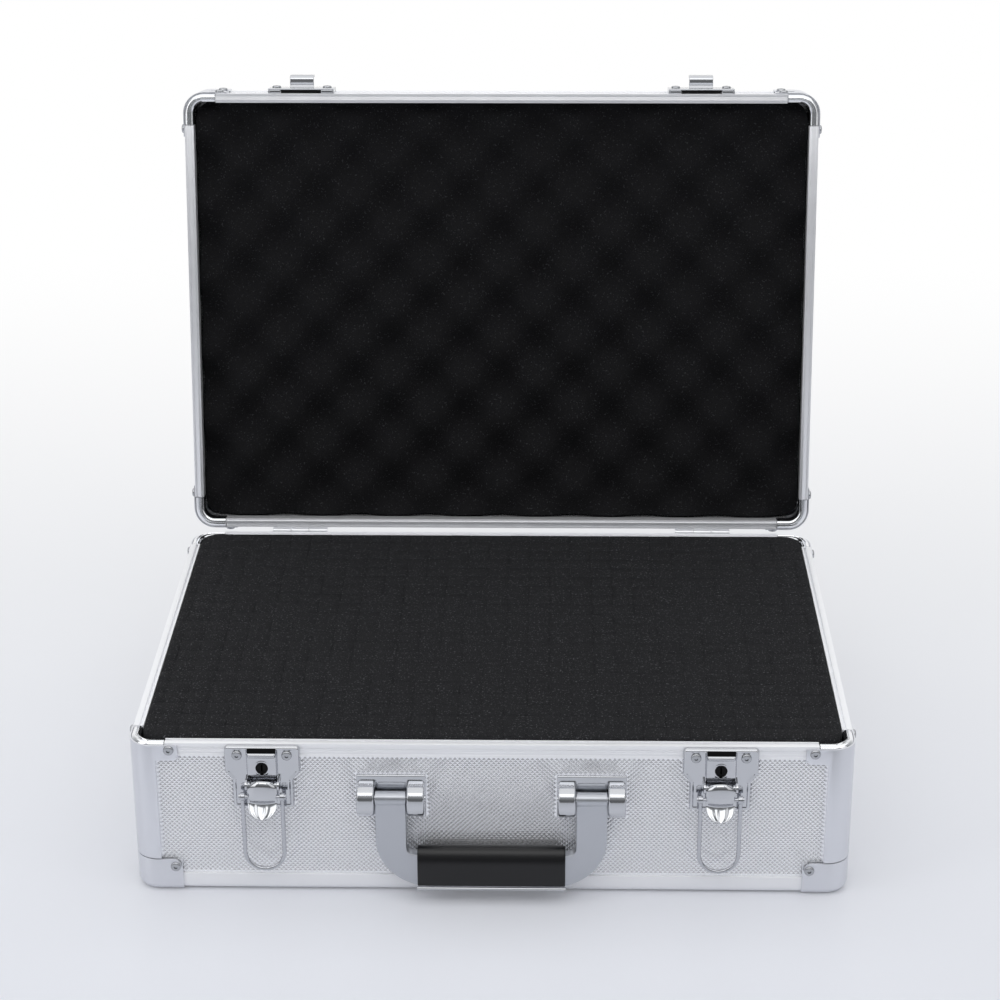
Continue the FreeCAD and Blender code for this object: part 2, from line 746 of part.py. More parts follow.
def build_hinges():
    start, end = f"{HINGE_X} - hinge_length / 2", f"{HINGE_X} + hinge_length / 2"
    first, second = f"{HINGE_X} - hinge_length / 6", f"{HINGE_X} + hinge_length / 6"
    half_gap = "hinge_knuckle_gap / 2"
    outer_spans = [(start, f"{first} - {half_gap}"), (f"{second} + {half_gap}", end)]
    middle_span = [(f"{first} + {half_gap}", f"{second} - {half_gap}")]
    fixed = hinge_leaf("hinge_base_leaf", base_level, -1, outer_spans, "hinge_pin_radius + running_gap")
    swung = hinge_leaf("hinge_lid_leaf", lid_level, 1, middle_span, "hinge_pin_radius + running_gap")
    pin = rod_along_x("hinge_pin", (start, end), HINGE_Y, HINGE_Z, "hinge_pin_radius")
    fixed = cut("hinge_base_leaf_drilled", fixed, base_holes)
    swung = cut("hinge_lid_leaf_drilled", swung, lid_holes)
    sub_part("hinge_base_leaves", fixed, mirrored("hinge_base_leaf_left", fixed))
    sub_part("hinge_lid_leaves", swung, mirrored("hinge_lid_leaf_left", swung), swings=True)
    sub_part("hinge_pins", pin, mirrored("hinge_pin_left", pin))


build_hinges()


# Handle


def build_handle():
    pivot_y = f"({PANEL_FRONT} - handle_pivot_reach)"
    pivot_z = base_level("handle_pivot_drop")
    bottom = f"({pivot_z} - handle_length)"
    bar_top = f"({bottom} + handle_bar_height)"
    arm_out, arm_in = "(handle_x + handle_arm_width / 2)", "(handle_x - handle_arm_width / 2)"
    ear_in = "(handle_arm_width / 2 + handle_side_gap)"
    ear_out = "(bracket_width / 2)"

    def bracket():
        across = ("handle_x - bracket_width / 2", "handle_x + bracket_width / 2")
        top = base_level("bracket_drop")
        plate = box("bracket_back", across, (f"{PANEL_FRONT} - bracket_plate", PANEL_FRONT),
                    (f"{top} - bracket_height", top))
        front = f"({pivot_y} - bracket_ear_radius)"
        section = [
            (PANEL_FRONT, f"{pivot_z} - bracket_ear_radius"),
            (front, f"{pivot_z} - bracket_ear_radius", "bracket_ear_round"),
            (front, f"{pivot_z} + bracket_ear_radius", "bracket_ear_round"),
            (PANEL_FRONT, f"{pivot_z} + bracket_ear_radius"),
        ]
        inner_ear = prism("bracket_inner_ear", "YZ", section, f"handle_x - {ear_out}", f"handle_x - {ear_in}")
        outer_ear = prism("bracket_outer_ear", "YZ", section, f"handle_x + {ear_in}", f"handle_x + {ear_out}")
        bore = rod_along_x("bracket_bore", across, pivot_y, pivot_z, "handle_pin_radius + running_gap")
        return cut("bracket", fuse("bracket_whole", plate, inner_ear, outer_ear), bore, base_holes)

    def frame():
        section = [
            (f"-{arm_out}", pivot_z),
            (f"-{arm_out}", bottom, "handle_outer_round"),
            (arm_out, bottom, "handle_outer_round"),
            (arm_out, pivot_z),
            (arm_in, pivot_z),
            (arm_in, bar_top, "handle_inner_round"),
            (f"-{arm_in}", bar_top, "handle_inner_round"),
            (f"-{arm_in}", pivot_z),
        ]
        thick = (f"{pivot_y} - handle_thickness / 2", f"{pivot_y} + handle_thickness / 2")
        pieces = [prism("handle_bow", "XZ", section, *thick)]
        bores = []
        for side, sign in (("left", -1), ("right", 1)):
            across = ordered(sign, arm_in, arm_out)
            pieces.append(rod_along_x(f"handle_knuckle_{side}", across, pivot_y, pivot_z, "handle_knuckle_radius"))
            bores.append(rod_along_x(f"handle_bore_{side}", across, pivot_y, pivot_z,
                                     "handle_pin_radius + running_gap"))
        return cut("handle_bow_bored", fuse("handle_bow_whole", *pieces), *bores)

    def grip():
        low = f"({bottom} + grip_lift)"
        back, front = f"({pivot_y} + grip_depth / 2)", f"({pivot_y} - grip_depth / 2)"
        slot_back = f"({pivot_y} + handle_thickness / 2 + grip_gap)"
        slot_front = f"({pivot_y} - handle_thickness / 2 - grip_gap)"
        section = [
            (slot_back, low),
            (back, low),
            (back, f"{low} + grip_height", "grip_round"),
            (front, f"{low} + grip_height", "grip_round"),
            (front, low),
            (slot_front, low),
            (slot_front, f"{bar_top} + grip_gap"),
            (slot_back, f"{bar_top} + grip_gap"),
        ]
        return prism("grip_sleeve", "YZ", section, *plus_minus("grip_length / 2"))

    right = bracket()
    pin = rod_along_x("handle_pin", (f"handle_x - {ear_out}", f"handle_x + {ear_out}"), pivot_y, pivot_z,
                      "handle_pin_radius")
    sub_part("handle_brackets", right, mirrored("bracket_left", right))
    sub_part("handle_pins", pin, mirrored("handle_pin_left", pin))
    sub_part("handle_frame", frame())
    sub_part("handle_grip", grip())


build_handle()


# Latches, drawn on the right and mirrored to the left


def both_sides(name, solid, swings=False):
    sub_part(f"right_{name}", solid, swings=swings)
    sub_part(f"left_{name}", mirrored(f"left_{name}_solid", solid), swings=swings)


def at_latch(offset):
    return f"({LATCH_X} + ({offset}))"


def across_latch(half):
    return at_latch(f"-({half})"), at_latch(half)


def build_latch():
    plate_top = base_level("latch_drop")
    channel_face = f"({LATCH_FACE} - channel_stand)"
    channel_top = f"({plate_top} - channel_setback)"
    channel_foot = f"({channel_top} - channel_length)"
    key_z = base_level("key_setback")
    lever_y = f"({LATCH_FACE} - lever_pivot_reach)"
    lever_z = base_level("lever_pivot_drop")
    bail_y = f"({lever_y} - bail_pivot_reach)"
    bail_z = f"({lever_z} - bail_pivot_drop)"
    half_lever = "(lever_width / 2)"
    ear_in = f"({half_lever} + lever_gap)"
    ear_out = f"({ear_in} + lever_ear_sheet)"
    bail_in = f"({ear_out} + bail_side_gap)"
    bail_out = f"({bail_in} + 2 * bail_wire_radius)"

    def plate_outline(trim, foot):
        wide = f"(latch_width / 2 - ({trim}))"
        narrow = f"(latch_foot_width / 2 - ({trim}))"
        shoulder = f"({plate_top} - latch_shoulder)"
        waist = f"({shoulder} - latch_taper)"
        top = f"({plate_top} - ({trim}))"
        right = [(wide, top), (wide, shoulder), (narrow, waist), (narrow, foot)]
        left = [(f"-{x}", z) for x, z in right[::-1]]
        return [(at_latch(x), z) for x, z in right + left]

    def plate():
        foot = f"({plate_top} - latch_height)"
        skin = prism("latch_skin", "XZ", plate_outline("0", foot), LATCH_FACE, FRONT)
        hollow = prism("latch_hollow", "XZ", plate_outline("latch_sheet", f"{foot} + latch_sheet"),
                       f"{LATCH_FACE} + latch_sheet", FRONT)
        span = (channel_foot, channel_top)
        inside = (f"{channel_foot} + latch_sheet", f"{channel_top} - latch_sheet")
        channel = box("latch_channel", across_latch("channel_width / 2"), (channel_face, LATCH_FACE), span)
        channel_space = box("latch_channel_space", across_latch("channel_width / 2 - latch_sheet"),
                            (f"{channel_face} + latch_sheet", FRONT), inside)
        slot = box("latch_slot", across_latch("channel_width / 2 - latch_sheet"),
                   (channel_face, LATCH_FACE), (f"{inside[1]} - channel_slot_height", inside[1]))
        lip = rod_along_x("latch_lip", across_latch("channel_width / 2 - latch_sheet"), f"{channel_face} + latch_sheet",
                          f"{inside[1]} - channel_slot_height", "channel_lip_radius")
        keyhole = rod_along_y("latch_keyhole", LATCH_X, (channel_face, f"{channel_face} + latch_sheet"), key_z,
                              "key_radius + running_gap")
        key_slot = box("latch_key_slot", across_latch("key_slot_width / 2"),
                       (channel_face, f"{channel_face} + latch_sheet"), (f"{key_z} - key_slot_length", key_z))
        ear_section = [
            (LATCH_FACE, f"{lever_z} - lever_ear_radius"),
            (f"{lever_y} - lever_ear_radius", f"{lever_z} - lever_ear_radius", "lever_ear_round"),
            (f"{lever_y} - lever_ear_radius", f"{lever_z} + lever_ear_radius", "lever_ear_round"),
            (LATCH_FACE, f"{lever_z} + lever_ear_radius"),
        ]
        ears = [
            prism("latch_ear_left", "YZ", ear_section, at_latch(f"-{ear_out}"), at_latch(f"-{ear_in}")),
            prism("latch_ear_right", "YZ", ear_section, at_latch(ear_in), at_latch(ear_out)),
        ]
        pin_space = rod_along_x("latch_ear_bore", across_latch(ear_out), lever_y, lever_z,
                                "lever_pin_radius + running_gap")
        shell = cut("latch_shell", fuse("latch_raised", skin, channel), hollow, channel_space, slot)
        whole = fuse("latch_whole", shell, lip, *ears)
        return cut("latch_plate_drilled", whole, keyhole, key_slot, pin_space, base_holes)

    def key_plug():
        flange = rod_along_y("key_flange", LATCH_X, (f"{channel_face} + latch_sheet + running_gap", FRONT),
                             key_z, "key_radius + latch_sheet")
        nose = rod_along_y("key_nose", LATCH_X, (f"{channel_face} + key_recess", FRONT), key_z, "key_radius")
        key_way = box("key_way", across_latch("key_slot_width / 4"),
                      (f"{channel_face} + key_recess", f"{LATCH_FACE} + latch_sheet"),
                      (f"{key_z} - key_radius * 3 / 4", f"{key_z} + key_radius * 3 / 4"))
        return cut("key_plug", fuse("key_barrel", flange, nose), key_way)

    def lever():
        crown = f"({lever_y} - lever_crown_depth)"
        waist = f"({lever_z} - lever_crown_height)"
        tip_z = f"({waist} - lever_tab_height)"
        tip_y = f"({crown} - lever_tab_depth)"
        flange_back = f"({bail_y} + bail_eye_radius)"
        section = [
            (lever_y, f"{lever_z} + lever_knuckle_radius"),
            (f"{crown} + 2 * lever_sheet", f"{lever_z} + 2 * lever_sheet"),
            (crown, f"{lever_z} - lever_sheet"),
            (crown, f"{waist} + 3 * lever_sheet"),
            (f"{crown} + lever_sheet", waist),
            (tip_y, tip_z),
            (f"{tip_y} + lever_sheet", tip_z),
            (f"{crown} + 2 * lever_sheet", f"{waist} - lever_sheet"),
            (flange_back, f"{waist} - lever_sheet"),
            (flange_back, bail_z),
            (f"{lever_y} + 2 * lever_sheet", lever_z),
        ]
        form = prism("lever_form", "YZ", section, *across_latch(half_lever))
        knuckle = rod_along_x("lever_knuckle", across_latch(half_lever), lever_y, lever_z, "lever_knuckle_radius")
        behind = f"({lever_y} + 2 * lever_knuckle_radius)"
        roof = f"({lever_z} + lever_knuckle_radius - lever_sheet)"
        hollow_section = [
            (behind, roof),
            (lever_y, roof),
            (f"{crown} + 3 * lever_sheet", f"{lever_z} + lever_sheet"),
            (f"{crown} + lever_sheet", f"{lever_z} - 3 / 2 * lever_sheet"),
            (f"{crown} + lever_sheet", f"{waist} + 3 * lever_sheet"),
            (f"{crown} + 2 * lever_sheet", waist),
            (f"{crown} + 2 * lever_sheet", f"{waist} - 2 * lever_sheet"),
            (behind, f"{waist} - 2 * lever_sheet"),
        ]
        hollow = prism("lever_hollow", "YZ", hollow_section, *across_latch(f"{half_lever} - lever_sheet"))
        pivot = rod_along_x("lever_bore", across_latch(half_lever), lever_y, lever_z, "lever_pin_radius + running_gap")
        cross = rod_along_x("lever_cross_bore", across_latch(half_lever), bail_y, bail_z,
                            "bail_pin_radius + running_gap")
        roof_edge = f"({lever_z} + lever_knuckle_radius)"
        right_half = [
            (f"({half_lever} - lever_shoulder)", f"{roof_edge} + lever_shoulder / 2"),
            (half_lever, f"{roof_edge} - lever_shoulder"),
            (half_lever, f"{waist} - lever_sheet"),
            ("(lever_tip_width / 2)", tip_z),
        ]
        left_half = [(f"-{x}", z) for x, z in right_half[::-1]]
        face = [(at_latch(x), z) for x, z in right_half + left_half]
        face_space = prism("lever_face", "XZ", face, tip_y, behind)
        whole = common("lever_rounded", fuse("lever_whole", form, knuckle), face_space)
        return cut("lever", whole, hollow, pivot, cross)

    def bail_pin():
        shank = rod_along_x("bail_pin_shank", across_latch(f"{bail_out} + bail_side_gap"), bail_y, bail_z,
                            "bail_pin_radius")
        heads = []
        for side, sign in (("left", -1), ("right", 1)):
            start = f"{bail_out} + bail_side_gap"
            span = ordered(sign, start, f"{start} + bail_pin_head_length")
            heads.append(rod_along_x(f"bail_pin_head_{side}", [at_latch(end) for end in span], bail_y, bail_z,
                                     "bail_pin_head_radius"))
        return fuse("bail_pin", shank, *heads)

    def bail():
        middle = f"({bail_in} + bail_wire_radius)"
        bottom = f"({bail_z} - bail_length + bail_wire_radius)"
        start = f"({bail_z} - bail_eye_radius + bail_wire_radius / 2)"
        body = doc.addObject("PartDesign::Body", "bail_wire")
        route = outline(body, "XZ", [
            (at_latch(f"-{middle}"), start),
            (at_latch(f"-{middle}"), bottom, "bail_bend_radius"),
            (at_latch(middle), bottom, "bail_bend_radius"),
            (at_latch(middle), start),
        ], closed=False)
        section = body.newObject("Sketcher::SketchObject", "bail_wire_section")
        floor = [origin for origin in body.Origin.OriginFeatures if origin.Role == "XY_Plane"]
        section.AttachmentSupport = [(floor[0], "")]
        section.MapMode = "FlatFace"
        bind(section, AttachmentOffset__Base__z=start)
        x = at_latch(f"-{middle}")
        round_wire = Part.Circle(FreeCAD.Vector(value(x), 0), FreeCAD.Vector(0, 0, 1), value("bail_wire_radius"))
        section.addGeometry(round_wire)
        for constraint, text in (
            (Sketcher.Constraint("Radius", 0, value("bail_wire_radius")), "bail_wire_radius"),
            (Sketcher.Constraint("DistanceX", -1, 1, 0, 3, value(x)), x),
            (Sketcher.Constraint("DistanceY", -1, 1, 0, 3, 0), "0"),
        ):
            bound = section.addConstraint(constraint)
            section.setExpression(f"Constraints[{bound}]", formula(text))
        sweep = body.newObject("PartDesign::AdditivePipe", "bail_wire_sweep")
        sweep.Profile = section
        sweep.Spine = route
        place(body, y=bail_y)
        pieces, bores = [body], []
        for side, sign in (("left", -1), ("right", 1)):
            eye = (f"{bail_in} - bail_eye_margin", f"{bail_out} + bail_eye_margin")
            span = [at_latch(end) for end in ordered(sign, *eye)]
            pieces.append(rod_along_x(f"bail_eye_{side}", span, bail_y, bail_z, "bail_eye_radius"))
            bores.append(rod_along_x(f"bail_bore_{side}", span, bail_y, bail_z, "bail_pin_radius + running_gap"))
        return cut("bail", fuse("bail_whole", *pieces), *bores)

    def hook():
        low = lid_level("hook_plate_setback")
        high = f"({low} + hook_plate_height)"
        left_end, right_end = across_latch("latch_width / 2")
        plan = [
            (left_end, FRONT),
            (left_end, HOOK_FACE, "hook_plate_round"),
            (right_end, HOOK_FACE, "hook_plate_round"),
            (right_end, FRONT),
        ]
        skin = prism("hook_skin", "XY", plan, low, high)
        mouth = box("hook_mouth", across_latch("hook_mouth_width / 2"), (f"{HOOK_FACE} + latch_sheet", FRONT),
                    (low, f"{low} + latch_sheet"))
        hollow = box("hook_hollow", across_latch("latch_width / 2 - latch_sheet"), (f"{HOOK_FACE} + latch_sheet", FRONT),
                     (f"{low} + latch_sheet", f"{high} - latch_sheet"))
        saddle = f"({bail_z} + bail_length - 2 * bail_wire_radius - hook_slack)"
        lip = f"({bail_y} - bail_wire_radius - hook_gap)"
        root = f"({HOOK_FACE} + latch_sheet / 2)"
        section = [
            (root, f"{saddle} - hook_reach"),
            (f"{lip} - hook_sheet", f"{saddle} - hook_sheet"),
            (f"{lip} - hook_sheet", f"{saddle} + hook_lip_height"),
            (lip, f"{saddle} + hook_lip_height"),
            (lip, saddle),
            (root, saddle),
        ]
        tab = prism("hook_tab", "YZ", section, *across_latch("hook_width / 2"))
        return cut("hook", fuse("hook_whole", cut("hook_plate", skin, hollow, mouth), tab), lid_holes)

    pin = rod_along_x("lever_pin", across_latch(ear_out), lever_y, lever_z, "lever_pin_radius")
    both_sides("latch_plate", plate())
    both_sides("latch_key_plug", key_plug())
    both_sides("latch_lever", lever())
    both_sides("latch_bail_pin", bail_pin())
    both_sides("latch_bail", bail())
    right_hook = hook()
    sub_part("latch_lever_pins", pin, mirrored("lever_pin_left", pin))
    sub_part("lid_hooks", right_hook, mirrored("hook_left", right_hook), swings=True)


build_latch()


# Check every object, then write each sub-part to its own file

doc.recompute()
faults = [thing.Name for thing in doc.Objects if {"Invalid", "Error"} & set(thing.State)]
for part in sub_parts:
    if part.Shape.isNull() or not part.Shape.isValid() or not part.Shape.Solids:
        faults.append(part.Label)
if faults:
    raise RuntimeError(f"failed to build: {sorted(set(faults))}")
os.makedirs("parts", exist_ok=True)
for part in sub_parts:
    part.Shape.exportStep(f"parts/{part.Label}.step")
    print(f"{part.Label}: {len(part.Shape.Solids)} solids, {part.Shape.Volume / 1000:.2f} cm3")
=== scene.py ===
import json
import math

import bmesh
import bpy
import numpy as np
from mathutils import Matrix, Vector

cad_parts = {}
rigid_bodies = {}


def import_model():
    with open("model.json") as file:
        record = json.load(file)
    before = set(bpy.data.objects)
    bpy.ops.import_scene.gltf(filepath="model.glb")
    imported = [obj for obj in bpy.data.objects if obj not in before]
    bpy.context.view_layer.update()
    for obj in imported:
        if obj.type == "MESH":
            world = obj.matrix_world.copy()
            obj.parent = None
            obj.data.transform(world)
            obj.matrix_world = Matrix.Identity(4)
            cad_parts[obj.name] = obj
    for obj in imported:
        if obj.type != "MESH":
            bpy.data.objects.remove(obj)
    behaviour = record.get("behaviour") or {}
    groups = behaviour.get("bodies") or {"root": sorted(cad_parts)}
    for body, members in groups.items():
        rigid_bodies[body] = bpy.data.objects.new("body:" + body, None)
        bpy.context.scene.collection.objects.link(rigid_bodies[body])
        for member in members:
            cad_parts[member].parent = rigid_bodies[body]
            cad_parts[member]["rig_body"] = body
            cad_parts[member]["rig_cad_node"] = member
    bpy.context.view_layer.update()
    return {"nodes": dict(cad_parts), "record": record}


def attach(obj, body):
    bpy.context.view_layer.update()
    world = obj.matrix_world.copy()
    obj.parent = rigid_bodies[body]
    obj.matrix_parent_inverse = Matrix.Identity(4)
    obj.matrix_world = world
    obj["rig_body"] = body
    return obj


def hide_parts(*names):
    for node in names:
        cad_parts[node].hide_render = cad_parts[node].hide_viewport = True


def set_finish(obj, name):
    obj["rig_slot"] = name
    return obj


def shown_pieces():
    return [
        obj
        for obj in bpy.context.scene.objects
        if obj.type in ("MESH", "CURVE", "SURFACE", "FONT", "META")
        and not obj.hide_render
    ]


# An open aluminium case on a white studio sweep. Its front faces -Y.
# The case's sizes are in millimetres until a mesh is made. The studio's sizes are in metres.

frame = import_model()
NODES = frame["nodes"]
SLOT_OF = {entry["node"]: entry["material_slot"] for entry in frame["record"]["subparts"]}
MM = 0.001

# Half sizes in X and Y: the rims' outside, cuts that pass the whole case, and the foams
CASE_HALF = (225, 158)
BEYOND = (230, 163)
FOAM_HALF = (218.3, 151.3)
FOAM_CORNER = 11
FRONT = -CASE_HALF[1]
BASE_TOP = 107
PARTING = 107.3
HINGE = (0, 160.55, 106.55)
LID_ANGLE = 100.7
LATCH_X = 142
KEY_HEIGHT = 92.4
BRACKET_X = 62.5
SIDES = ("front", "back", "left", "right")
SEED = 7


# Mesh helpers


def moved(x, y, z):
    return Matrix.Translation(Vector((x, y, z)))


def turned(angle, axis):
    return Matrix.Rotation(math.radians(angle), 4, axis)


LID_SWING = moved(*HINGE) @ turned(-LID_ANGLE, "X") @ moved(*(-part for part in HINGE))
# For each body: the level of its rims, the direction away from the parting, and its placing
SHELLS = (("base", BASE_TOP, -1, None), ("lid", PARTING, 1, LID_SWING))


def new_object(name, data):
    made = bpy.data.objects.new(name, data)
    bpy.context.scene.collection.objects.link(made)
    return made


def mesh_from(name, points, faces, place):
    """A mesh in metres from points in millimetres, moved to its place."""
    mesh = bpy.data.meshes.new(name)
    mesh.from_pydata([tuple(point) for point in np.asarray(points, float)], [], faces)
    if place is not None:
        mesh.transform(place)
    mesh.transform(Matrix.Scale(MM, 4))
    return mesh


def shade(mesh, smooth, sharp):
    mesh.polygons.foreach_set("use_smooth", [smooth] * len(mesh.polygons))
    if smooth:
        mesh.set_sharp_from_angle(angle=math.radians(sharp))
    mesh.update()


def add_piece(name, points, faces, body, slot, place=None, smooth=True, sharp=40):
    """A mesh piece from points in millimetres, riding on a body."""
    mesh = mesh_from(name, points, faces, place)
    mesh.validate()
    shade(mesh, smooth, sharp)
    piece = new_object(name, mesh)
    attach(piece, body)
    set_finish(piece, slot)
    return piece


def rework(mesh, work=None):
    """Do any work on a mesh's parts, and leave its faces pointing outward."""
    form = bmesh.new()
    form.from_mesh(mesh)
    if work:
        work(form)
    bmesh.ops.recalc_face_normals(form, faces=form.faces)
    form.to_mesh(mesh)
    form.free()


def join_facets(form):
    """Join a CAD mesh's facets into whole faces."""
    near, turn = 0.002 * MM, math.radians(0.5)
    bmesh.ops.remove_doubles(form, verts=form.verts, dist=near)
    bmesh.ops.dissolve_limit(form, angle_limit=turn, verts=form.verts, edges=form.edges)


def slab(outline, low, high):
    """A prism along X from an outline in Y and Z."""
    count = len(outline)
    points = [(x, y, z) for x in (low, high) for y, z in outline]
    faces = [tuple(range(count))[::-1], tuple(range(count, 2 * count))]
    faces += [(n, (n + 1) % count, count + (n + 1) % count, count + n) for n in range(count)]
    return points, faces


def block(x, y, z):
    return slab([(y[0], z[0]), (y[1], z[0]), (y[1], z[1]), (y[0], z[1])], *x)


def joined(forms):
    """Several point and face lists as one."""
    points, faces = [], []
    for form_points, form_faces in forms:
        start = len(points)
        points += [tuple(point) for point in form_points]
        faces += [tuple(start + index for index in face) for face in form_faces]
    return points, faces


def apply_modifiers(piece):
    shown = piece.evaluated_get(bpy.context.evaluated_depsgraph_get())
    mesh = bpy.data.meshes.new_from_object(shown)
    piece.modifiers.clear()
    piece.data = mesh
    return mesh


def round_edges(piece, width, limit=35, segments=3):
    """Round the edges of a piece that turn by more than a limit."""
    bevel = piece.modifiers.new("rounding", "BEVEL")
    bevel.width = width * MM
    bevel.segments = segments
    bevel.limit_method = "ANGLE"
    bevel.angle_limit = math.radians(limit)
    shade(apply_modifiers(piece), smooth=True, sharp=32)


def stand_in(node, piece):
    """Show a piece in place of a CAD node, on the node's own body."""
    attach(piece, NODES[node]["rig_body"])
    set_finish(piece, SLOT_OF[node])
    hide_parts(node)


def cutter(forms, place):
    """A tool for a cut, from closed forms in millimetres."""
    mesh = mesh_from("cutter", *joined(forms), place)
    rework(mesh)
    return new_object("cutter", mesh)


def rounded_copy(node, width, cuts=None, place=None):
    """A copy of a CAD node with its sharp edges rounded, after any cuts."""
    mesh = NODES[node].data.copy()
    mesh.materials.clear()
    rework(mesh, join_facets)
    piece = new_object(f"{node}_rounded", mesh)
    if cuts:
        tool = cutter(cuts, place)
        opening = piece.modifiers.new("cut", "BOOLEAN")
        opening.operation = "DIFFERENCE"
        opening.solver = "EXACT"
        opening.object = tool
        apply_modifiers(piece)
        bpy.data.objects.remove(tool)
    round_edges(piece, width)
    stand_in(node, piece)


def wire(name, points, radius, body, slot):
    """A round wire through points, as a mesh piece."""
    curve = bpy.data.curves.new(name, "CURVE")
    curve.dimensions = "3D"
    curve.bevel_depth = radius * MM
    curve.bevel_resolution = 3
    curve.use_fill_caps = True
    line = curve.splines.new("POLY")
    line.points.add(len(points) - 1)
    for spot, point in zip(line.points, points):
        spot.co = (*(part * MM for part in point), 1)
    drawn = new_object(f"{name}_line", curve)
    mesh = bpy.data.meshes.new_from_object(drawn.evaluated_get(bpy.context.evaluated_depsgraph_get()))
    bpy.data.objects.remove(drawn)
    shade(mesh, smooth=True, sharp=50)
    piece = new_object(name, mesh)
    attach(piece, body)
    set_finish(piece, slot)
    return piece


# Edges, rims and corner covers


def add_rounded_edges():
    leaf, edge = 0.25, 0.35
    roundings = {"handle_frame": 1.6, "hinge_base_leaves": leaf, "hinge_lid_leaves": leaf}
    for side in SIDES:
        roundings[f"base_{side}_edge"] = edge
        roundings[f"lid_{side}_edge"] = edge
    for node, width in roundings.items():
        rounded_copy(node, width)


def rim_groove(side, insets, levels):
    """What to cut for a straight groove along one side's rim."""
    hand = -1 if side in ("front", "left") else 1
    along_x = side in ("front", "back")
    half = CASE_HALF[1] if along_x else CASE_HALF[0]
    across = sorted(hand * (half - inset) for inset in insets)
    if along_x:
        return block((-BEYOND[0], BEYOND[0]), across, sorted(levels))
    return block(across, (-BEYOND[1], BEYOND[1]), sorted(levels))


def add_rims():
    """Straight rims with two fine grooves outside, and on the lid one more in the parting face."""
    rounding, clear = 0.12, 1
    drops, height, depth = (3.1, 6.2), 0.6, 0.45
    parting_insets, parting_depth = (1.4, 2.1), 0.6
    for side in SIDES:
        for body, level, away, place in SHELLS:
            grooves = []
            for drop in drops:
                levels = (level + away * drop, level + away * (drop + height))
                grooves.append(rim_groove(side, (-clear, depth), levels))
            if body == "lid":
                levels = (level - clear, level + parting_depth)
                grooves.append(rim_groove(side, parting_insets, levels))
            rounded_copy(f"{body}_{side}_rim", rounding, grooves, place)


def sheet_corner_cuts(arm, level, rise, radius):
    """What to take from the square corners of the eight sheet arms to leave round ones."""
    half_x, half_y = (half + 1 for half in CASE_HALF)
    sheet, clear, margin = 4, 1, 0.5
    outline = [(-margin, margin), (-margin, -radius), (0, -radius)]
    for turn in range(170, 90, -10):
        angle = math.radians(turn)
        outline.append((radius * (1 + math.cos(angle)), radius * (math.sin(angle) - 1)))
    outline += [(radius, 0), (radius, margin)]
    forms = []
    for sign_x in (-1, 1):
        for sign_y in (-1, 1):
            along_y = [(sign_y * (half_y - arm + along), level + rise * up) for along, up in outline]
            ends = sorted(sign_x * reach for reach in (half_x - sheet, half_x + clear))
            forms.append(slab(along_y, *ends))
            along_x = [(sign_x * (half_x - arm + along), level + rise * up) for along, up in outline]
            ends = sorted(sign_y * reach for reach in (half_y - sheet, half_y + clear))
            points, faces = slab(along_x, *ends)
            forms.append(([(y, x, z) for x, y, z in points], faces))
    return forms


def add_corner_covers():
    """Ball corners and posts with round sheet corners, and a fine seam where they meet."""
    ball_arm, ball_radius, ball_rounding = 29.4, 5, 0.4
    post_arm, post_radius, post_rounding = 30.5, 3, 0.25
    seam_under, seam_over = 0.2, 0.6
    # For each body: the direction from its ball corners to the parting, and the levels of the sheet ends
    covers = (("base", 1, 23.4, 95, None), ("lid", -1, 126.9, 119.3, LID_SWING))
    for body, rise, ball_edge, tab_edge, place in covers:
        ball_cuts = sheet_corner_cuts(ball_arm, ball_edge, rise, ball_radius)
        rounded_copy(f"{body}_ball_corners", ball_rounding, ball_cuts, place)
        levels = sorted((ball_edge - seam_under * rise, ball_edge + seam_over * rise))
        seam = block((-BEYOND[0], BEYOND[0]), (-BEYOND[1], BEYOND[1]), levels)
        post_cuts = sheet_corner_cuts(post_arm, tab_edge, -rise, post_radius) + [seam]
        rounded_copy(f"{body}_corner_posts", post_rounding, post_cuts, place)


add_rounded_edges()
add_rims()
add_corner_covers()


# Foam


def foam_lines(half, stops):
    """Grid lines across a foam block, with its middle at zero."""
    clear = 0.2
    return np.array(sorted({round(stop, 4) for stop in stops if abs(stop) < half - clear} | {-half, half}))


def rounded_plan(lines_x, lines_y, half, corner):
    """Grid points whose outer corners are drawn in to quarter circles, and their outward directions."""
    x, y = np.meshgrid(lines_x, lines_y, indexing="ij")
    flat = [side - corner for side in half]
    over_x = np.maximum(np.abs(x) - flat[0], 0) / corner
    over_y = np.maximum(np.abs(y) - flat[1], 0) / corner
    in_x = over_x * np.sqrt(1 - over_y ** 2 / 2)
    in_y = over_y * np.sqrt(1 - over_x ** 2 / 2)
    plan_x = np.sign(x) * np.where(over_x > 0, flat[0] + corner * in_x, np.abs(x))
    plan_y = np.sign(y) * np.where(over_y > 0, flat[1] + corner * in_y, np.abs(y))
    return plan_x, plan_y, np.sign(x) * in_x, np.sign(y) * in_y


def border(columns, rows):
    """The grid's outline as index pairs, once round."""
    low = [(i, 0) for i in range(columns - 1)]
    right = [(columns - 1, j) for j in range(rows - 1)]
    high = [(i, rows - 1) for i in range(columns - 1, 0, -1)]
    left = [(0, j) for j in range(rows - 1, 0, -1)]
    return low + right + high + left


